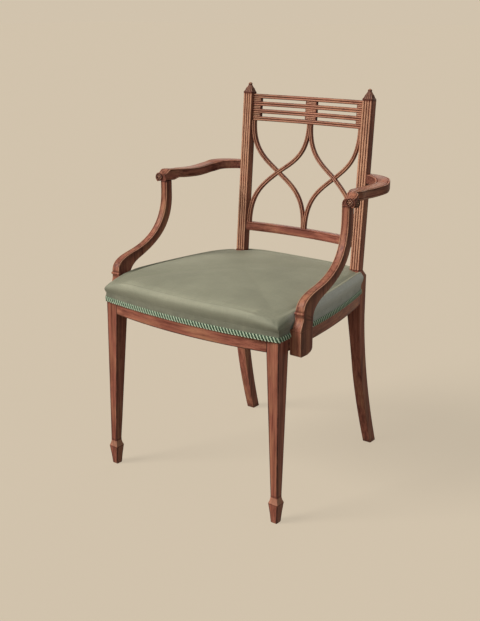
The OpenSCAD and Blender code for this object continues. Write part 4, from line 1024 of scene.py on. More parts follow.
def arm(name, mirror):
    route = [p for p in through(ARM_ROUTE, 12) if p[0] > STILE_OUT_X + 0.3 or p[1] < ARM_JOIN_Y - 30]
    route = [(STILE_OUT_X, ARM_JOIN_Y, STILE_FULL_D)] + [p for p in route if p[1] > ARM_TIP_Y + 0.6]
    route.append((TIP_X, ARM_TIP_Y, ARM_TIP_W))
    rings = []
    for i, (x, y, w) in enumerate(route):
        a, b = route[max(i - 1, 0)], route[min(i + 1, len(route) - 1)]
        d = Vector((b[0] - a[0], b[1] - a[1])).normalized()
        if i == 0:
            d = Vector((1, 0))
        if i == len(route) - 1:
            d = Vector((0, -1))
        across = Vector((1, 0)).lerp(Vector((-d.y, d.x)), smooth((y - ARM_TIP_Y - 35) / 25)).normalized()
        top = table(ARM_TOP_LINE, y)
        # Flat underneath over the support, and as thick as the rest of the arm behind it
        under = lerp(ARM_Z, top - ARM_T, smooth((y - ARM_TIP_Y - SUPPORT_D - 9) / 14))
        half = arm_profile(w, top - under)
        # The knob's underside is painted dark, as shade
        if y < ARM_TIP_Y + 14:
            half = [(s, z, m if z > 3 - top + under else 0.8) for s, z, m in half]
        if y > ARM_JOIN_Y - 90:
            shade = 0.5 * smooth((y - ARM_JOIN_Y + 90) / 40)
            half = [(s, z, max(m, shade) if z < -4 else m) for s, z, m in half]
        both = half + [(-s, z, m) for s, z, m in half[-2:0:-1]]
        ring = []
        for s, z, mark in both:
            px, py = x + across.x * s, y + across.y * s
            pz = top + z
            if z > -5 or y >= ARM_TIP_Y + 60:
                pz += table(ARM_TOP_LINE, py) - top
            px, pz = round_tip(px, py, pz)
            ring.append((px, py, pz, mark))
        rings.append(ring)
    # The knob's front: a rim, a quirk inside it and a sunk round for the rosette
    tip = rings[-1]
    mid_z = lerp(ARM_Z, ARM_TOP_Z - 4, 0.5)
    for inset, back, dark in ((0.4, 0.0, 0.5), (1.9, 0.0, 0.2), (2.4, 1.1, 1.0), (3.0, 1.2, 0.6)):
        fx = 1 - inset / (ARM_TIP_W / 2)
        fz = 1 - inset / (ARM_T / 2 - 2)
        rings.append([(lerp(TIP_X, x, fx), ARM_TIP_Y + back, lerp(mid_z, z, fz), dark)
                      for x, _, z, _ in tip])
    placed = [[(at(x, y, z), mark) for x, y, z, mark in ring] for ring in rings]
    return lofted(name, placed, mirror, 40)


def round_tip(x, y, z):
    """Rounds the tip into a knob: its upper inner corner most, and its outer side swells below the arm."""
    r = 15 if x < TIP_X else 8.5
    cx = TIP_X - ARM_TIP_W / 2 + r if x < TIP_X else TIP_X + ARM_TIP_W / 2 - r
    cz = ARM_TOP_Z - 2 - r
    share = 1 - smooth((y - ARM_TIP_Y - 4) / 16)
    if x > TIP_X + 3 and z < ARM_Z + 10 and y < ARM_TIP_Y + 24:
        low = 3.5 * (1 - smooth((y - ARM_TIP_Y - 12) / 12)) * smooth((x - TIP_X - 3) / 2.5)
        z -= low * smooth((ARM_Z + 10 - z) / 9)
        cz = ARM_Z - 3.5 + r
        beyond = x > cx and z < cz
    else:
        beyond = (x > cx) != (x < TIP_X) and z >= cz
    far = math.hypot(x - cx, z - cz)
    if not beyond or far <= r:
        return x, z
    return lerp(x, cx + (x - cx) * r / far, share), lerp(z, cz + (z - cz) * r / far, share)


# Arm supports
BLOCK_Y = FRONT_LEG_D + BLOCK_SET
BLOCK_BACK_Y = BLOCK_Y + BLOCK_D
BLOCK_OUT_X = LEG_X + BLOCK_OUT
BLOCK_LOW = RAIL_Z - BLOCK_DROP
NECK_IN_X, NECK_Y = LEG_X + 5.5, BLOCK_Y + 10
NECK_Z, POST_Z = COLLAR_Z - 6, COLLAR_Z + 4
POST_FRONT_Y = ARM_TIP_Y + 1.5
POST_BACK_Y = POST_FRONT_Y + SUPPORT_D
POST_OUT_X = TIP_X + 2
POST_IN_X = POST_OUT_X - SUPPORT_W


def post_line(y0, y1, spans, n):
    """A curve up the post: spans hold four points each, as shares of the way in Y and in Z."""
    out = []
    for span in spans:
        points = [(lerp(y0, y1, sy), lerp(POST_Z, ARM_Z, sz)) for sy, sz in span]
        out += bezier(*points, n)[1 if out else 0:]
    return out


POST_FRONT = post_line(NECK_Y, POST_FRONT_Y, [
    ((0, 0), (0, 0.13), (0.14, 0.17), (0.35, 0.21)),
    ((0.35, 0.21), (0.73, 0.285), (1.02, 0.46), (1, 0.94))], 24) + [(POST_FRONT_Y, ARM_Z)]
BACK_START = (lerp(BLOCK_TOP, POST_Z, 0.45) - POST_Z) / (ARM_Z - POST_Z)
POST_BACK = post_line(BLOCK_BACK_Y, POST_BACK_Y, [
    ((0, BACK_START), (0, -0.02), (0.1, 0.06), (0.24, 0.105)),
    ((0.24, 0.105), (0.69, 0.24), (1.02, 0.41), (1, 0.86))], 24) + [(POST_BACK_Y, ARM_Z)]


def post_side(z, foot, lean, head):
    """x of one side of the post at z: from foot, leaning by lean first, to head."""
    line = bezier((foot, POST_Z), (foot + lean, lerp(POST_Z, ARM_Z, 0.2)),
                  (head, lerp(POST_Z, ARM_Z, 0.5)), (head, lerp(POST_Z, ARM_Z, 0.85)), 12)
    return table([(z, x) for x, z in line], z)


def support_section(b):
    """Share across, share of depth, inset across, inset in depth and mark, round a support's section.
    b is how far the scratched beads of its front have grown."""
    front = [(0.0, 3.2, 0.8), (0.1, 1.6, 0.3), (0.5, 0.5, -0.6), (1.4, 0.0, -0.9), (2.2, 0.3 * b, 0.0),
             (2.8, 1.0 * b, 1.0), (3.5, 0.35 * b, 0.6), (5.0, 0.25 * b, 0.0)]
    rear = [(0.0, -3.2, 0.0), (0.3, -1.0, 0.6), (1.2, 0.0, 0.4), (3, 0.0, 0.0)]
    return [(0, 0, *p) for p in front] + [(0.5, 0, 0, 0.1 * b, -0.1)] \
        + [(1, 0, -x, y, mark) for x, y, mark in reversed(front)] \
        + [(1, 1, -x, y, mark) for x, y, mark in rear] + [(0, 1, *p) for p in reversed(rear)]


def support_ring(front, back, x_of, beads, dark=0.0):
    """A ring across the support between a point of its front line and one of its back line, as (y, z)."""
    f, b = Vector(front), Vector(back)
    way = (b - f).normalized()
    ring = []
    for sx, sd, inset, deep, mark in support_section(beads):
        p = (b if sd else f) + way * deep
        x_in, x_out = x_of(p.x, p.y)
        in_bead = 2 < abs(inset) < 3.6 and sd == 0
        ring.append((at(lerp(x_in, x_out, sx) + inset, p.x, p.y), dark or mark * (beads if in_bead else 1)))
    return ring


def arm_support(name, mirror):
    """A foot block on the side rail, a cove up to the neck with its bead, and the post that sweeps back."""
    def block_x(y, z):
        return side_x(min(y, SEAT_D)) + 0.05, BLOCK_OUT_X

    def neck_x(y, z):
        return NECK_IN_X, BLOCK_OUT_X

    def post_x(y, z):
        return post_side(z, NECK_IN_X, 6, POST_IN_X), post_side(z, BLOCK_OUT_X, 2, POST_OUT_X)

    rings = []

    def ring(y, z, back_z, x_of, dark=0.0):
        rings.append(support_ring((y, z), (BLOCK_BACK_Y, back_z), x_of, 0.0, dark))

    low, top = BLOCK_LOW, BLOCK_TOP
    foot_back = bezier((BLOCK_BACK_Y - 18, low), (BLOCK_BACK_Y - 8, low + 2),
                       (BLOCK_BACK_Y, low + 6), (BLOCK_BACK_Y, low + 12), 5)
    foot_front = [(3, 0), (1.4, 0.9), (0.5, 2.4), (0, 5), (0, 9), (0, 12)]
    for i, ((y, z), back) in enumerate(zip(foot_front, foot_back)):
        rings.append(support_ring((BLOCK_Y + y, low + z), back, block_x, 0.0, 0 if i else 0.7))
    for z, dark in ((400, 0), (top - 3.4, 0), (top - 3.0, 0.9), (top - 2.6, 0.2)):
        ring(BLOCK_Y, z, z, block_x, dark)
    ring(BLOCK_Y - 0.4, top - 0.7, top - 0.7, block_x)
    ring(BLOCK_Y, top, top, block_x)
    ring(BLOCK_Y + 0.8, top + 0.3, top + 0.3, neck_x, 0.7)
    cove = bezier((BLOCK_Y + 0.8, top + 0.6), (BLOCK_Y + 3, top + 12),
                  (NECK_Y, top + 14), (NECK_Y, NECK_Z), 8)
    for (y, z), back_z in zip(cove, steps(top + 0.6, POST_BACK[0][1] - 4, 8)):
        ring(y, z, back_z, neck_x, 0.8 if z == NECK_Z else 0.0)
    ring(NECK_Y, POST_Z - 3, POST_BACK[0][1] - 1, neck_x)
    n = 56
    for i, (f, b) in enumerate(zip(spaced(POST_FRONT, n), spaced(POST_BACK, n))):
        rings.append(support_ring(f, b, post_x, smooth(i / 2 - 0.5), 0.8 if i in (0, n) else 0))
    bm = bmesh.new()
    add_loft(bm, rings, mirror)
    bead = []
    for x, r, dark in ((NECK_IN_X - 0.8, 2.2, 0.8), (NECK_IN_X - 0.2, 2.9, 0.2), (NECK_IN_X + 0.6, 3.0, 0.0),
                       (BLOCK_OUT_X + 0.4, 3.0, 0.0), (BLOCK_OUT_X + 1.1, 2.7, 0.2),
                       (BLOCK_OUT_X + 1.4, 1.8, 0.8)):
        bead.append([(at(x, NECK_Y + 0.8 + r * c, COLLAR_Z + r * s), dark) for c, s in circle(20)])
    add_loft(bm, bead, mirror)
    return finish_mesh(bm, name, 36)


def rosettes(name, mirror):
    """Two carved flowers: a boss, petals and a rim, on the front and the outer face of the arm's tip."""
    petals = bpy.context.scene.armchair_sizes.petals
    count = 64
    x = TIP_X + (ARM_TIP_W - ROSETTE_D) / 2 - 1.5
    z = ARM_Z + ROSETTE_D / 2 - 0.3
    places = [(Vector((x, ARM_TIP_Y + 1.1, z - 0.6)), Vector((0, -1, 0)), Vector((1, 0, 0))),
              (Vector((TIP_X + ARM_TIP_W / 2, ARM_TIP_Y + ROSETTE_D / 2 + 0.5, z - 2)), Vector((1, 0, 0)),
               Vector((0, 1, 0)))]
    levels = [(1, 0, 0.9), (1, 0.45, 0.8), (0.96, 0.85, 0.5), (0.89, 1.0, 0.2), (0.83, 0.85, 0.7),
              (0.79, 0.42, 1), (0.74, 0.36, 0.8), (0.68, 0.5, -0.4), (0.58, 0.66, -1), (0.48, 0.7, -0.9),
              (0.38, 0.58, 0.2), (0.32, 0.4, 1), (0.28, 0.62, 0.4), (0.22, 0.88, -0.8), (0.12, 1.02, -1),
              (0.02, 1.06, -1)]
    bm = bmesh.new()
    for centre, out, side in places:
        rings = []
        for share, lift, mark in levels:
            # Inside the petals, each fold between two of them is cut deeper and is darker
            inside = smooth((0.8 - share) / 0.06) * smooth((share - 0.3) / 0.06)
            ring = []
            for k, (c, s) in enumerate(circle(count)):
                fold = 0.5 - 0.5 * math.cos(petals * 2 * math.pi * k / count)
                r = ROSETTE_D / 2 * share * (1 - 0.04 * inside * fold)
                rise = ROSETTE_T * lift * (1 - 0.62 * inside * fold ** 2) + 0.1
                p = centre + side * (r * c) + Vector((0, 0, r * s)) + out * rise
                ring.append((at(*p), min(1.0, mark + 2 * inside * fold ** 2)))
            rings.append(ring)
        add_loft(bm, rings, mirror)
    return finish_mesh(bm, name, 50)


# Upholstery
def outline(d, front=48, side=48, back=36):
    """The seat frame's outline in plan, moved out by d, from the left front corner and on to the right."""
    half = LEG_X + d
    out = [(x, -FRONT_BOW * (1 - (x / half) ** 2) - d) for x in steps(-half, half, front)]
    right = [(max(side_x(y, d), BACK_X + d), y) for y in steps(FRONT_LEG_D, SEAT_D, side)]
    rear = [(x, SEAT_BACK_Y + d) for x in steps(BACK_X + d, -BACK_X - d, back)]
    return out + right + rear + [(-x, y) for x, y in reversed(right)]


def rounded(line, r, n=4):
    """Rounds a closed line's sharp corners."""
    out = []
    for i, p in enumerate(line):
        a, b, c = Vector(line[i - 1]), Vector(p), Vector(line[(i + 1) % len(line)])
        if (b - a).length < 1e-6 or (c - b).length < 1e-6:
            continue
        turn = (b - a).angle_signed(c - b)
        if abs(turn) < math.radians(35):
            out.append(tuple(b))
            continue
        reach = r * math.tan(abs(turn) / 2)
        start, end = b + (a - b).normalized() * reach, b + (c - b).normalized() * reach
        for k in range(n + 1):
            t = k / n
            out.append(tuple(start * (1 - t) ** 2 + b * 2 * t * (1 - t) + end * t * t))
    return out


def eased(line, reach):
    """A closed line smoothed over a length of about reach, so that its corners grow round."""
    p = np.array(line)
    sides = np.linalg.norm(np.roll(p, -1, 0) - p, axis=1)
    s = np.concatenate(([0], np.cumsum(sides)))
    share = (sides + np.roll(sides, 1)) / 2
    gap = np.abs(s[:-1, None] - s[None, :-1])
    gap = np.minimum(gap, s[-1] - gap)
    weight = np.exp(-gap ** 2 / (2 * reach ** 2)) * share[None, :] + 1e-9 * np.eye(len(p))
    return [tuple(q) for q in (weight @ p) / weight.sum(1)[:, None]]


# Rings of the padded seat from hem to crown: inward share, bulge outward and height
SEAT_RINGS = [
    (0, 0, RAIL_TOP - 1), (0, 1.8, RAIL_TOP + 5), (0, 3.8, RAIL_TOP + 12), (0.001, 5.0, RAIL_TOP + 20),
    (0.007, 4.8, RAIL_TOP + 27), (0.02, 3.2, RAIL_TOP + 35), (0.042, 1.4, CROWN_Z - 17.3),
    (0.07, 0.4, CROWN_Z - 13.8), (0.105, 0, CROWN_Z - 11.6), (0.16, 0, CROWN_Z - 9.6),
    (0.28, 0, CROWN_Z - 6.6), (0.52, 0, CROWN_Z - 2.4), (0.8, 0, CROWN_Z - 0.4)]


def corner_pull(x, y):
    """How far the cloth is drawn down at the seat's corners."""
    front = max(0, 1 - math.hypot(abs(x) - LEG_X, y) / 130)
    rear = max(0, 1 - math.hypot(abs(x) - BACK_X, y - SEAT_BACK_Y) / 120)
    return 7 * front ** 2 + 6 * front ** 6 + 7.7 * rear ** 2


def seat_shell(bm):
    """Adds the seat's closed form: hem, roll and crown, and an underside that follows frame and hessian."""
    patina_and_painted_light = bm.verts.layers.float.new("patina_and_painted_light")
    pin = bm.verts.layers.float.new("held")
    mid_y = MID_SEAT_Y
    levels = [(0, 0, HEM_Z), (0, 0, HEM_Z + 4), (0, 0, HEM_Z + 9), (0, 0.2, GIMP_TOP + 1)]
    levels += through(SEAT_RINGS, 5) + [(0.9, 0, CROWN_Z - 0.1)]
    heights = [(share, z) for share, _, z in levels if share > 0] + [(1, CROWN_Z)]
    rows = []
    for share, bulge, z in levels:
        # The corners are sharp at the hem, and grow rounder towards the crown
        ease = 0.01 + 5 * smooth((z - 422) / 10) + 18 * smooth((z - 430) / 34) + 120 * share
        row = []
        for x, y in eased(rounded(outline(COVER_OUT + bulge), 2.5), ease):
            up = z
            if share > 0:
                # Near the edge the slopes run together, and further in the crown falls off without a ridge
                half_x = side_x(min(max(y, FRONT_LEG_D), SEAT_D), COVER_OUT)
                half_y = mid_y + FRONT_BOW * (1 - (x / LEG_X) ** 2) + COVER_OUT
                a = 1 - (1 - share) * min(abs(x) / half_x, 1)
                b = 1 - (1 - share) * min(abs(y - mid_y) / half_y, 1)
                near = table(heights, (a ** -2 + b ** -2) ** -0.5)
                far = CROWN_Z - math.hypot(CROWN_Z - table(heights, a), CROWN_Z - table(heights, b))
                up = lerp(near, far, smooth((share - 0.06) / 0.2))
            drop = corner_pull(x, y) * (1 - share) * min(max((z - GIMP_TOP) / 46, 0), 1)
            up -= SWELL * smooth((z - 440) / 30) + drop
            v = bm.verts.new(at(lerp(x, 0, share), lerp(y, mid_y, share), up))
            v[patina_and_painted_light] = 0.0
            v[pin] = 1 - smooth((z - RAIL_TOP - 8) / 24)
            row.append(v)
        rows.append(row)
    centre = bm.verts.new(at(0, mid_y, CROWN_Z - SWELL))
    # Underneath, the cloth turns in over the rails, and the stuffing stands on the hessian
    under = []
    for out, inward, z in ((0.1, 0, HEM_Z), (0.1, 0, RAIL_TOP + 0.2),
                           (COVER_OUT, 0.03, HESSIAN_Z + HESSIAN_T + 0.1)):
        row = []
        for x, y in rounded(outline(out), 2.5):
            v = bm.verts.new(at(lerp(x, 0, inward), lerp(y, mid_y, inward), z))
            v[pin] = 1.0
            row.append(v)
        under.append(row)
    join_rows(bm, under[::-1] + rows)
    for a, b in zip(rows[-1], rows[-1][1:] + rows[-1][:1]):
        bm.faces.new((a, b, centre))
    bm.faces.new(under[-1])
    bmesh.ops.recalc_face_normals(bm, faces=bm.faces)


def evened(mesh, values, rounds, weight=1.0):
    """Values of a mesh's points, drawn towards those of their neighbours round after round."""
    a, b = np.array([e.vertices[:] for e in mesh.edges]).T
    count = np.bincount(np.concatenate((a, b)), minlength=len(values))
    for _ in range(rounds):
        total = np.bincount(a, values[b], len(values)) + np.bincount(b, values[a], len(values))
        values = values + 0.5 * weight * (total / count - values)
    return values


def soften(mesh):
    """Rounds the stuffing over the front corners, above the legs, and evens out the crown."""
    weight = []
    for x, y, z in map(own, mesh.vertices):
        crown = smooth((z - 466) / 7)
        front_corner = smooth((z - RAIL_TOP - 3) / 22) * smooth(1.3 - math.hypot(abs(x) - LEG_X, y) / 85)
        weight.append(max(crown, front_corner))
    places = np.array([v.co[:] for v in mesh.vertices])
    for axis in range(3):
        places[:, axis] = evened(mesh, places[:, axis], 40, np.array(weight))
    for v, place in zip(mesh.vertices, places):
        v.co = place


def hold_notches(mesh):
    """Holds the cloth where it is cut round the legs and supports."""
    held = mesh.attributes["held"].data
    for pin, v in zip(held, mesh.vertices):
        for box in NOTCHES:
            away = [max(low - c, c - high, 0) for c, (low, high) in zip(own(v), box)]
            pin.value = max(pin.value, 1 - smooth((math.hypot(*away) - 3) / 12))


CLOTH = {"quality": 6, "mass": 0.35, "tension_stiffness": 18, "compression_stiffness": 12,
         "shear_stiffness": 6, "bending_stiffness": 3, "use_pressure": True, "uniform_pressure_force": 4}
CLOTH_STEPS = 20


def puffed(piece, cap):
    """Lets the cloth swell under a little pressure, with its held parts pinned, and caps the outward move."""
    start = [v.co.copy() for v in piece.data.vertices]
    outward = [v.normal.copy() for v in piece.data.vertices]
    held = [d.value for d in piece.data.attributes["held"].data]
    group = piece.vertex_groups.new(name="held")
    for i, share in enumerate(held):
        group.add([i], share, "REPLACE")
    cloth = piece.modifiers.new("cloth", "CLOTH")
    for key, value in CLOTH.items():
        setattr(cloth.settings, key, value)
    cloth.settings.vertex_group_mass = group.name
    cloth.settings.effector_weights.gravity = 0
    cloth.point_cache.frame_start, cloth.point_cache.frame_end = 1, CLOTH_STEPS
    scene = bpy.context.scene
    for f in range(1, CLOTH_STEPS + 1):
        scene.frame_set(f)
    moved = piece.evaluated_get(bpy.context.evaluated_depsgraph_get()).data
    places = [v.co.copy() for v in moved.vertices]
    piece.modifiers.clear()
    scene.frame_set(1)
    rise = [min(max((place - p).dot(way) * (1 - share), 0), cap)
            for place, p, way, share in zip(places, start, outward, held)]
    # The swelling is evened out from point to point, so that the cap leaves no edge in it
    rise = evened(piece.data, np.array(rise), 30)
    for i, v in enumerate(piece.data.vertices):
        v.co = start[i] + outward[i] * rise[i] * (1 - held[i])
    piece.vertex_groups.clear()


def box_tool(boxes):
    """Plain boxes between limits in x, y and z, for cutting."""
    bm = bmesh.new()
    for x, y, z in boxes:
        ring = [(x[0], y[0]), (x[1], y[0]), (x[1], y[1]), (x[0], y[1])]
        add_loft(bm, [[(at(px, py, pz), 0.0) for px, py in ring] for pz in z])
    return finish_mesh(bm, "cutter")


# Room for the back legs, and for the feet of the arm supports
LEG_NOTCHES = [(x, (SEAT_D - GAP, 470), (360, 520))
               for x in ((STILE_IN_X - GAP, 230), (-230, GAP - STILE_IN_X))]
NOTCHES = LEG_NOTCHES + [(x, (BLOCK_Y - 0.5, BLOCK_BACK_Y + 0.2), (360, BLOCK_TOP + 0.4))
                         for x in ((LEG_IN_X, 300), (-300, -LEG_IN_X))]


def seat_cushion(name):
    """The cover over its stuffing: cut round the legs and supports, swollen and gathered, with painted shade
    above the braid and in the gathers, a painted highlight along the front roll and painted light on its
    sides.
    """
    bm = bmesh.new()
    seat_shell(bm)
    piece = finish_mesh(bm, name, 60)
    soften(piece.data)
    cut(piece, [box_tool(NOTCHES)])
    hold_notches(piece.data)
    puffed(piece, SWELL * MM)
    mesh = piece.data
    patina_and_painted_light = mesh.attributes["patina_and_painted_light"].data
    side_light = mesh.attributes.new("side_light", "FLOAT", "POINT").data
    for i, v in enumerate(mesh.vertices):
        x, y, z = own(v)
        outward = Vector((x, y - MID_SEAT_Y, 0)).normalized()
        away = math.hypot(abs(x) - LEG_X, y)
        # The gimp presses a crease into the cloth, and painted shade darkens the crease and the cloth above
        # it, most of all at the corners
        crease = math.exp(-((z - GIMP_TOP - 2.2) / 1.6) ** 2)
        painted_shade = (0.65 + 0.35 * math.exp(-away / 24)) * (1 - smooth((z - GIMP_TOP) / 34))
        # A band along the front roll is painted pale, as a highlight
        painted_highlight = -0.3 * math.exp(-((z - CROWN_Z + 21) / 5) ** 2) * (1 - smooth((y - 5) / 25))
        mark = max(0.9 * crease, painted_shade) + painted_highlight if z > GIMP_TOP else 0.0
        # The sides, except near the front corners, are painted lighter, as light falls on them
        side_light[i].value = smooth((abs(v.normal.x) - 0.4) / 0.5) * smooth((y - 15) / 60) * (z > HEM_Z)
        v.co -= outward * crease * 0.5 * MM
        # Gathers run up from the front corners, where the cloth is drawn round the leg, and their hollows are
        # painted dark as shade
        if z > RAIL_TOP - 4 and away < 60:
            turn = math.atan2(y - 30, LEG_X - 30 - abs(x))
            fold = math.sin(turn * 16 + 0.8) * math.exp(-away / 22) * smooth((CROWN_Z - 12 - z) / 20)
            v.co += outward * fold * 0.8 * MM
            mark = max(mark, -0.7 * min(0, fold))
        patina_and_painted_light[i].value = mark
    mesh.set_sharp_from_angle(angle=math.radians(50))
    return piece


def hessian(name):
    bm = bmesh.new()
    add_loft(bm, [[(at(x, y, z), 0.0) for x, y in outline(-WEB_EDGE)]
                  for z in (HESSIAN_Z, HESSIAN_Z + HESSIAN_T)])
    return cut(finish_mesh(bm, name), [box_tool(LEG_NOTCHES)])


WEB_X = steps(-(STILE_IN_X - WEB_W / 2 - 22), STILE_IN_X - WEB_W / 2 - 22, 3)
WEB_Y = steps(BLOCK_BACK_Y + 20, SEAT_D - WEB_W / 2 - 30, 2)


def web_strip(bm, line, side):
    """Adds a flat strip whose middle line is (x, y, z) and whose width lies along side."""
    across = [WEB_W / 2 * share for share in (-1, -0.5, 0, 0.5, 1)]
    edge = [(k, WEB_T) for k in across] + [(k, 0) for k in reversed(across)]
    add_loft(bm, [[(at(x + side[0] * k, y + side[1] * k, z + up), 0.0) for k, up in edge]
                  for x, y, z in line])


def over_under(value, crossings, first):
    """Rises over one crossing strip and dips under the next."""
    lift = 0
    for i, c in enumerate(crossings):
        near = smooth(1.5 - abs(value - c) / (WEB_W / 2 + 6))
        lift += near * (1 if (i + first) % 2 == 0 else -1)
    return lift


def webbing(name, along_y):
    """The strips of one direction, each passing over and under those of the other."""
    bm = bmesh.new()
    if along_y:
        for k, x in enumerate(WEB_X):
            start = FRONT_C - math.sqrt((FRONT_R - WEB_EDGE) ** 2 - x * x)
            line = [(x, y, RAIL_TOP + 0.05 + 0.6 * over_under(y, WEB_Y, k))
                    for y in steps(start, SEAT_BACK_Y - WEB_EDGE, 60)]
            web_strip(bm, line, (1, 0))
    else:
        for k, y in enumerate(WEB_Y):
            end = side_x(y, -WEB_EDGE) - 1
            line = [(x, y, RAIL_TOP + 1.3 - 0.6 * over_under(x, WEB_X, k) * (abs(x) < 170))
                    for x in steps(-end, end, 60)]
            web_strip(bm, line, (0, 1))
    return finish_mesh(bm, name)


# Geometry Nodes
def flow(name, defaults):
    """A new geometry tree that takes a geometry and named numbers."""
    tree = bpy.data.node_groups.new(name, "GeometryNodeTree")
    tree.interface.new_socket("Geometry", in_out="INPUT", socket_type="NodeSocketGeometry")
    add_numbers(tree, defaults)
    tree.interface.new_socket("Geometry", in_out="OUTPUT", socket_type="NodeSocketGeometry")
    t = Tree(tree)
    return t, t.add("NodeGroupInput").outputs


def joined(t, parts):
    """Several geometries as one."""
    node = t.add("GeometryNodeJoinGeometry")
    for part in parts:
        t.link(part, node.inputs, 0)
    return node.outputs[0]


def with_material(t, geometry, material):
    return t.get("GeometryNodeSetMaterial", {"Geometry": geometry, "Material": material})


def with_mark(t, geometry, name, value):
    """Keeps a number on each point under a name, for a material."""
    return t.get("GeometryNodeStoreNamedAttribute", {"Geometry": geometry, "Name": name, "Value": value},
                 data_type="FLOAT", domain="POINT")


def shaded_smooth(t, geometry):
    return t.get("GeometryNodeSetShadeSmooth", {"Geometry": geometry, "Shade Smooth": True})


def through_nodes(piece, t, values):
    """Runs a piece through a tree with its inputs set, and keeps the result as a plain mesh."""
    step = piece.modifiers.new("nodes", "NODES")
    step.node_group = t.tree
    for item in t.tree.interface.items_tree:
        if item.in_out == "INPUT" and item.name in values:
            step[item.identifier] = values[item.name]
    return apply_steps(piece)


def braid_tree(thread, ground):
    """Slanting bars of cord over a thin ground strip that follows the incoming edges, with a cord on each
    border."""
    t, given = flow("Barred gimp", {"Period": 0.0078, "Height": 0.0115, "Depth": 0.0018, "Step": 0.002})
    curve = t.get("GeometryNodeMeshToCurve", {0: given["Geometry"]})
    tangent = t.get("GeometryNodeInputTangent")
    outward = t.vector("CROSS_PRODUCT", tangent, (0, 0, 1))

    def resampled(length):
        return t.get("GeometryNodeResampleCurve", {"Curve": curve, "Length": length}, mode="LENGTH")

    def part(label, share):
        return t.times(given[label], share)

    def upright(line):
        return t.get("GeometryNodeSetCurveNormal", {"Curve": line}, mode="Z_UP")

    def tube(line, profile, finish):
        made = t.get("GeometryNodeCurveToMesh", {"Curve": line, "Profile Curve": profile, "Fill Caps": True})
        return with_material(t, made, finish)

    def cord(line, thick, wide, finish):
        """A cord along a curve, with the place round it and along it kept for its material."""
        line = with_mark(t, line, "along", t.add("GeometryNodeSplineParameter").outputs["Length"])
        section = t.get("GeometryNodeCurvePrimitiveCircle", {"Resolution": 8, "Radius": 1.0})
        section = with_mark(t, section, "round", t.add("GeometryNodeSplineParameter").outputs["Factor"])
        size = t.xyz(part("Depth", thick), part("Height", wide), 1.0)
        section = t.get("GeometryNodeTransform", {"Geometry": section, "Scale": size})
        return tube(upright(line), section, finish)

    fine = resampled(given["Step"])
    parts = []
    for side in (-0.44, 0.44):
        shift = t.vector("ADD", t.scaled(outward, part("Depth", 0.36)), t.xyz(z=part("Height", side)))
        border = t.get("GeometryNodeSetPosition", {"Geometry": fine, "Offset": shift})
        parts.append(cord(border, 0.3, 0.045, ground))
    # One bar as a curve: ends and handles as shares of the period, of the depth outward and of the height
    shares = ((-0.5, -0.4, 0.43), (0.0, -0.85, 0.43), (0.0, -0.85, -0.43), (0.5, -0.4, -0.43))
    start, start_handle, end_handle, end = (
        t.xyz(part("Period", along), part("Depth", out), part("Height", up)) for along, out, up in shares)
    bar = t.get("GeometryNodeCurvePrimitiveBezierSegment", {
        "Resolution": 10, "Start": start, "Start Handle": start_handle, "End Handle": end_handle, "End": end})
    turn = t.get("FunctionNodeAlignRotationToVector", {"Vector": tangent}, axis="X", pivot_axis="Z")
    parts.append(t.get("GeometryNodeInstanceOnPoints", {
        "Points": resampled(given["Period"]), "Instance": cord(bar, 0.36, 0.125, thread), "Rotation": turn}))
    strip = t.get("GeometryNodeCurvePrimitiveQuadrilateral", {
        "Width": part("Depth", 0.3), "Height": part("Height", 0.88)})
    parts.append(tube(upright(fine), strip, ground))
    real = t.get("GeometryNodeRealizeInstances", {0: joined(t, parts)})
    t.add("NodeGroupOutput", {0: shaded_smooth(t, real)})
    return t


def line_piece(name, points):
    """An object whose mesh is one open line."""
    mesh = bpy.data.meshes.new(name)
    mesh.from_pydata(points, [(i, i + 1) for i in range(len(points) - 1)], [])
    return new_object(name, mesh)


def gimp_lines():
    """The braid's four stretches on the cover's face, each walked so that its outside lies to the right."""
    line = rounded(outline(GIMP_OUT), 5)
    gap = 0.6
    split_front, split_back, end_y = BLOCK_Y - gap, BLOCK_BACK_Y + gap, SEAT_D - gap
    front = [p for p in line if p[1] < split_front]
    front.sort(key=lambda p: math.atan2(p[0], 60 - p[1]))
    edge_x = side_x(split_front, GIMP_OUT)
    front = [(-edge_x, split_front)] + front + [(edge_x, split_front)]
    right = sorted([p for p in line if split_back < p[1] < end_y and p[0] > 0], key=lambda p: p[1])
    right = [(side_x(split_back, GIMP_OUT), split_back)] + right + [(side_x(end_y, GIMP_OUT), end_y)]
    back = [(x, SEAT_BACK_Y + GIMP_OUT) for x in steps(STILE_IN_X - gap, gap - STILE_IN_X, 40)]
    stretches = {"front": front, "right": right, "back": back, "left": [(-x, y) for x, y in reversed(right)]}
    return {side: [at(x, y, HEM_Z + GIMP_H / 2) for x, y in points] for side, points in stretches.items()}


def spread(t, given, parts, metal, soft=False, **turned):
    """Ends a tree that puts a shape of several parts on each point."""
    copies = t.get("GeometryNodeInstanceOnPoints", {
        "Points": given["Geometry"], "Instance": joined(t, parts), **turned})
    real = t.get("GeometryNodeRealizeInstances", {0: copies})
    if soft:
        real = shaded_smooth(t, real)
    t.add("NodeGroupOutput", {0: with_material(t, real, metal)})
    return t


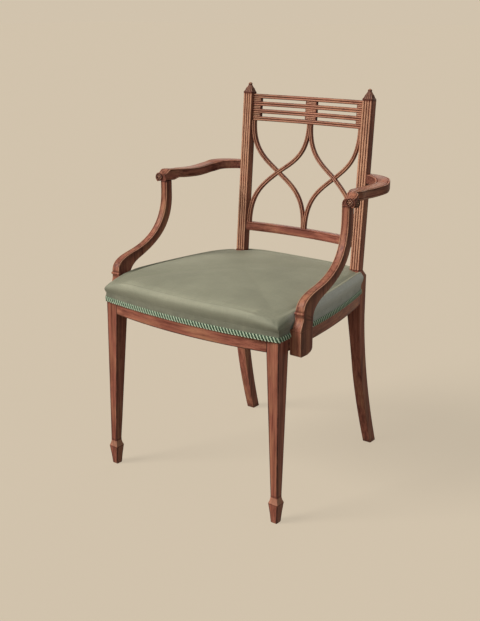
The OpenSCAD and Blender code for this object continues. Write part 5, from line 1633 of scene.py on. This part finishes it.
def screws_tree(metal):
    """A slotted countersunk screw on each point, along the point's own direction."""
    t, given = flow("Slotted screws", {
        "Shank diameter": 0.004, "Head diameter": 0.0075, "Head height": 0.003, "Length": 0.026})
    length, shank_r = given["Length"], t.times(given["Shank diameter"], 0.5)
    shank = t.get("GeometryNodeMeshCylinder", {"Vertices": 20, "Radius": shank_r, "Depth": length},
                  fill_type="NGON")
    shank = t.get("GeometryNodeTransform", {"Geometry": shank, "Translation": t.xyz(z=t.times(length, 0.5))})
    head = t.get("GeometryNodeMeshCone", {
        "Vertices": 28, "Radius Top": shank_r, "Radius Bottom": t.times(given["Head diameter"], 0.5),
        "Depth": given["Head height"]}, fill_type="NGON")
    wide, deep = t.times(given["Head diameter"], 0.13), t.times(given["Head height"], 0.7)
    slot = t.get("GeometryNodeMeshCube", {"Size": t.xyz(0.02, wide, deep)})
    slotted = t.get("GeometryNodeMeshBoolean", {"Mesh 1": head, "Mesh 2": slot}, operation="DIFFERENCE")
    way = t.get("GeometryNodeInputNamedAttribute", {"Name": "way"}, data_type="FLOAT_VECTOR")
    turn = t.get("FunctionNodeAlignRotationToVector", {"Vector": way}, axis="Z")
    return spread(t, given, [slotted, shank], metal, Rotation=turn)


def tacks_tree(metal):
    """A domed tack on each point, its shank down."""
    t, given = flow("Domed tacks", {
        "Head diameter": 0.005, "Head height": 0.0006, "Shank diameter": 0.0016, "Length": 0.009})
    head_r = t.times(given["Head diameter"], 0.5)
    dome = t.get("GeometryNodeMeshUVSphere", {"Segments": 20, "Rings": 8, "Radius": 1.0})
    dome = t.get("GeometryNodeTransform", {
        "Geometry": dome, "Scale": t.xyz(head_r, head_r, given["Head height"])})
    shank = t.get("GeometryNodeMeshCone", {
        "Vertices": 10, "Radius Top": 0.0002, "Radius Bottom": t.times(given["Shank diameter"], 0.5),
        "Depth": given["Length"]}, fill_type="NGON")
    shank = t.get("GeometryNodeTransform", {"Geometry": shank, "Rotation": (math.pi, 0, 0)})
    return spread(t, given, [dome, shank], metal, soft=True)


def point_piece(name, places):
    """An object of loose points with a direction on each."""
    mesh = bpy.data.meshes.new(name)
    mesh.from_pydata([p for p, _ in places], [], [])
    ways = mesh.attributes.new("way", "FLOAT_VECTOR", "POINT")
    for mark, (_, way) in zip(ways.data, places):
        mark.vector = way
    return new_object(name, mesh)


def both_ways(places):
    """Adds the same places and directions on the chair's left."""
    return places + [(Vector((-p.x, p.y, p.z)), Vector((-w[0], w[1], w[2]))) for p, w in places]


def tack_places():
    out = []
    for x in WEB_X:
        for k in (-1, 1):
            tx = x + k * WEB_W * 0.3
            out.append(at(tx, FRONT_C - math.sqrt((FRONT_R - RAIL_T / 2) ** 2 - tx * tx), RAIL_TOP + WEB_T))
            out.append(at(tx, SEAT_D + BACK_RAIL_SET + RAIL_T / 2, RAIL_TOP + WEB_T))
    for y in WEB_Y:
        for k in (-1, 1):
            ty = y + k * WEB_W * 0.3
            x = side_x(ty, -RAIL_T / 2)
            out += [at(x, ty, RAIL_TOP + 2 * WEB_T), at(-x, ty, RAIL_TOP + 2 * WEB_T)]
    return [(p, (0, 0, 1)) for p in out]


def screw_places():
    """The places and directions of each kind of screw on the chair's right, and its length."""
    low, high = RAIL_Z + 10.6, RAIL_Z + 19.4
    y0, y1 = FRONT_LEG_D + 14, SEAT_D - 16
    blocks = [(at(LEG_IN_X - 12, RAIL_T + 9, high), (0, -1, 0)),
              (at(side_x(y0, -RAIL_T) - 9, y0, low), (1, 0, 0)),
              (at(STILE_IN_X - 16, SEAT_D + BACK_RAIL_SET - 9, high), (0, 1, 0)),
              (at(side_x(y1, -RAIL_T) - 9, y1, low), (1, 0, 0))]
    join_z = SHOULDER_Z + ARM_JOIN_UP * math.cos(RAKE)
    arms = [(at(STILE_IN_X + 6, ARM_JOIN_Y, join_z), (1, 0, 0))]
    hold_z = lerp(RAIL_Z, RAIL_TOP, 0.69)
    holds = [(at(side_x(y, -RAIL_T) - 0.1, y, hold_z), (1, 0, 0))
             for y in (lerp(BLOCK_Y, BLOCK_BACK_Y, 0.29), lerp(BLOCK_Y, BLOCK_BACK_Y, 0.73))]
    return {"corner_block_screws": (blocks, 0.026), "arm_screws": (arms, 0.046),
            "arm_support_screws": (holds, 0.036)}


# Stage
def make_ground(colour):
    """A wide floor that the camera sees in its own colour, and that throws little light on the chair."""
    mesh = bpy.data.meshes.new("ground")
    bm = bmesh.new()
    bmesh.ops.create_grid(bm, x_segments=1, y_segments=1, size=60)
    bm.to_mesh(mesh)
    bm.free()
    material = bpy.data.materials.new("Ground")
    material.use_nodes = True
    t = Tree(material.node_tree)
    lit = t.get("ShaderNodeBsdfDiffuse", {"Color": paint(colour, 0.22)})
    glow = t.get("ShaderNodeEmission", {"Color": paint(colour, 0.80), "Strength": 1.0})
    shown = t.get("ShaderNodeAddShader", {0: lit, 1: glow})
    surface = t.get("ShaderNodeMixShader", {0: t.seen(), 1: lit, 2: shown})
    t.add("ShaderNodeOutputMaterial", {"Surface": surface})
    mesh.materials.append(material)
    return new_object("ground", mesh)


def light_room(scene, looks):
    """Even light all round, which the camera sees as the ground's colour, and four soft lamps."""
    world = bpy.data.worlds.new("Room")
    scene.world = world
    world.use_nodes = True
    t = Tree(world.node_tree)
    room = t.get("ShaderNodeBackground", {"Color": (1.0, 0.97, 0.92, 1), "Strength": looks.sky})
    backdrop = t.get("ShaderNodeBackground", {"Color": paint(looks.ground), "Strength": 1.0})
    surface = t.get("ShaderNodeMixShader", {0: t.seen(), 1: room, 2: backdrop})
    t.add("ShaderNodeOutputWorld", {"Surface": surface})
    # Name, strength, spread in degrees, tint and the way towards the lamp
    lamps = (("window", looks.sun, 24, (1.0, 0.975, 0.94), (-0.62, -0.84, 0.82)),
             ("side wall", looks.wall, 60, (0.72, 0.95, 1.0), (0.95, -0.25, 0.35)),
             ("front wall", looks.front, 50, (1.0, 0.97, 0.92), (-0.25, -1.0, 0.12)),
             ("back wall", looks.behind, 60, (1.0, 0.97, 0.92), (-0.3, 1.0, 0.15)))
    for name, strength, spread_angle, tint, towards in lamps:
        lamp = bpy.data.lights.new(name, "SUN")
        lamp.energy = strength
        lamp.angle = math.radians(spread_angle)
        lamp.color = tint
        new_object(name, lamp).rotation_euler = Vector(towards).to_track_quat("Z", "Y").to_euler()


def aim_camera(scene):
    eye = bpy.data.cameras.new("camera")
    eye.sensor_fit = "VERTICAL"
    eye.sensor_width = eye.sensor_height = SENSOR
    eye.lens = SENSOR * FOCAL_PX / PICTURE_H
    eye.clip_end = 200
    camera = new_object("camera", eye)
    camera.location = CAMERA_AT
    level = math.cos(CAMERA_SLOPE)
    forward = Vector((-math.sin(CAMERA_TURN) * level, math.cos(CAMERA_TURN) * level, -math.sin(CAMERA_SLOPE)))
    camera.rotation_euler = forward.to_track_quat("-Z", "Y").to_euler()
    scene.camera = camera


# Operators, one for each group of like pieces
class ARMCHAIR_OT_legs(bpy.types.Operator):
    """Makes the tapered front legs, and the back legs with their reeded stiles"""
    bl_idname = "armchair.legs"
    bl_label = "Legs and stiles"

    def execute(self, context):
        both_sides(front_leg, "front_leg", finish_of("upright"))
        both_sides(back_leg, "back_leg", finish_of("upright"))
        both_sides(finial, "finial", finish_of("carved"))
        return {"FINISHED"}


class ARMCHAIR_OT_rails(bpy.types.Operator):
    """Makes the bowed seat rails and gives the corner blocks their beech"""
    bl_idname = "armchair.rails"
    bl_label = "Seat rails"

    def execute(self, context):
        dress(front_rail("front_rail"), finish_of("across"), ["front_rail"])
        dress(back_rail("back_rail"), finish_of("across"), ["back_rail"])
        both_sides(side_rail, "side_rail", finish_of("depth"))
        for node in ("front_corner_block_right", "front_corner_block_left",
                     "back_corner_block_right", "back_corner_block_left"):
            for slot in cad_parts[node].material_slots:
                slot.material = finish_of("beech")
        return {"FINISHED"}


class ARMCHAIR_OT_back(bpy.types.Operator):
    """Makes the reeded crest slats, their spacers, the lattice and the low rail"""
    bl_idname = "armchair.back"
    bl_label = "Back"

    def execute(self, context):
        wooden = finish_of("across")
        for n in range(SLATS):
            name = f"crest_slat_{n + 1}"
            dress(crest_slat(name, n), wooden, [name])
        for side, x0, x1 in (("middle", -MID_SPACER_W / 2, MID_SPACER_W / 2),
                             ("right", STILE_IN_X - SIDE_SPACER_W, STILE_IN_X),
                             ("left", -STILE_IN_X, -STILE_IN_X + SIDE_SPACER_W)):
            name = f"crest_spacers_{side}"
            dress(spacers(name, x0, x1), wooden, [name])
        dress(low_rail("low_rail"), wooden, ["low_rail"])
        bar_side_x = STILE_IN_X - BAR_W / 2
        falling, rising = bar_path(BAR_MID_X, bar_side_x), bar_path(bar_side_x, BAR_MID_X)
        for number, mirror in ((1, 1), (3, -1)):
            for place, (path, other) in enumerate(((falling, rising), (rising, falling))):
                name = f"lattice_bar_{number + place}"
                bar = lattice_bar(name, path, other, place == 1, mirror)
                dress(bar, finish_of("upright"), [name])
        return {"FINISHED"}


class ARMCHAIR_OT_arms(bpy.types.Operator):
    """Makes the serpentine arms, their supports and the rosettes"""
    bl_idname = "armchair.arms"
    bl_label = "Arms"

    def execute(self, context):
        both_sides(arm, "arm", finish_of("depth"))
        both_sides(arm_support, "arm_support", finish_of("upright"))
        both_sides(rosettes, "rosettes", finish_of("carved"))
        return {"FINISHED"}


class ARMCHAIR_OT_fastenings(bpy.types.Operator):
    """Makes the slotted screws and the webbing's tacks"""
    bl_idname = "armchair.fastenings"
    bl_label = "Screws and tacks"

    def execute(self, context):
        steel = finish_of("steel")
        tree = screws_tree(steel)
        for name, (places, length) in screw_places().items():
            piece = through_nodes(point_piece(name, both_ways(places)), tree, {"Length": length})
            dress(piece, steel, [name])
        tacks = through_nodes(point_piece("webbing_tacks", tack_places()), tacks_tree(steel), {})
        dress(tacks, steel, ["webbing_tacks"])
        return {"FINISHED"}


class ARMCHAIR_OT_webbing(bpy.types.Operator):
    """Makes the interlaced webbing and the hessian over it"""
    bl_idname = "armchair.webbing"
    bl_label = "Webbing and hessian"

    def execute(self, context):
        for name, along_y in (("webbing_front_to_back", True), ("webbing_side_to_side", False)):
            dress(webbing(name, along_y), finish_of("webbing"), [name])
        piece = dress(hessian("hessian"), finish_of("hessian"), ["hessian"])
        return {"FINISHED"}


class ARMCHAIR_OT_seat(bpy.types.Operator):
    """Makes the padded seat with its cover, and the braid along the lower edge"""
    bl_idname = "armchair.seat"
    bl_label = "Padded seat"

    def execute(self, context):
        seat = dress(seat_cushion("seat_cushion"), finish_of("cover"), ["seat_cover", "stuffing"])
        tree = braid_tree(finish_of("braid"), finish_of("braid ground"))
        period = context.scene.armchair_sizes.braid_period
        for side, points in gimp_lines().items():
            name = f"gimp_{side}"
            piece = through_nodes(line_piece(name, points), tree, {
                "Period": period, "Height": GIMP_H * MM, "Depth": GIMP_T * MM})
            claim(piece, [name])
        return {"FINISHED"}


class ARMCHAIR_OT_stage(bpy.types.Operator):
    """Makes the ground, the light and the camera"""
    bl_idname = "armchair.stage"
    bl_label = "Stage"

    def execute(self, context):
        scene = context.scene
        looks = scene.armchair_stage
        make_ground(looks.ground)
        light_room(scene, looks)
        aim_camera(scene)
        scene.view_settings.view_transform = "Standard"
        return {"FINISHED"}


class ARMCHAIR_PT_panel(bpy.types.Panel):
    """Lists the chair's sizes, colours and steps"""
    bl_label = "Lattice-back armchair"
    bl_idname = "ARMCHAIR_PT_panel"
    bl_space_type = "VIEW_3D"
    bl_region_type = "UI"
    bl_category = "Armchair"

    def draw(self, context):
        layout = self.layout
        scene = context.scene
        for group in (scene.armchair_finish, scene.armchair_sizes, scene.armchair_stage):
            box = layout.box()
            for key in group.__annotations__:
                box.prop(group, key)
        for step in STEPS:
            layout.operator(step.bl_idname)


STEPS = (ARMCHAIR_OT_stage, ARMCHAIR_OT_legs, ARMCHAIR_OT_rails, ARMCHAIR_OT_back, ARMCHAIR_OT_arms,
         ARMCHAIR_OT_fastenings, ARMCHAIR_OT_webbing, ARMCHAIR_OT_seat)
CLASSES = (ArmchairFinish, ArmchairSizes, ArmchairStage, *STEPS, ARMCHAIR_PT_panel)


def register():
    for cls in CLASSES:
        bpy.utils.register_class(cls)
    bpy.types.Scene.armchair_finish = PointerProperty(type=ArmchairFinish)
    bpy.types.Scene.armchair_sizes = PointerProperty(type=ArmchairSizes)
    bpy.types.Scene.armchair_stage = PointerProperty(type=ArmchairStage)


def unregister():
    del bpy.types.Scene.armchair_stage
    del bpy.types.Scene.armchair_sizes
    del bpy.types.Scene.armchair_finish
    for cls in reversed(CLASSES):
        bpy.utils.unregister_class(cls)


def main():
    register()
    bpy.ops.armchair.stage()
    bpy.ops.armchair.legs()
    bpy.ops.armchair.rails()
    bpy.ops.armchair.back()
    bpy.ops.armchair.arms()
    bpy.ops.armchair.fastenings()
    bpy.ops.armchair.webbing()
    bpy.ops.armchair.seat()


if __name__ == "__main__":
    main()
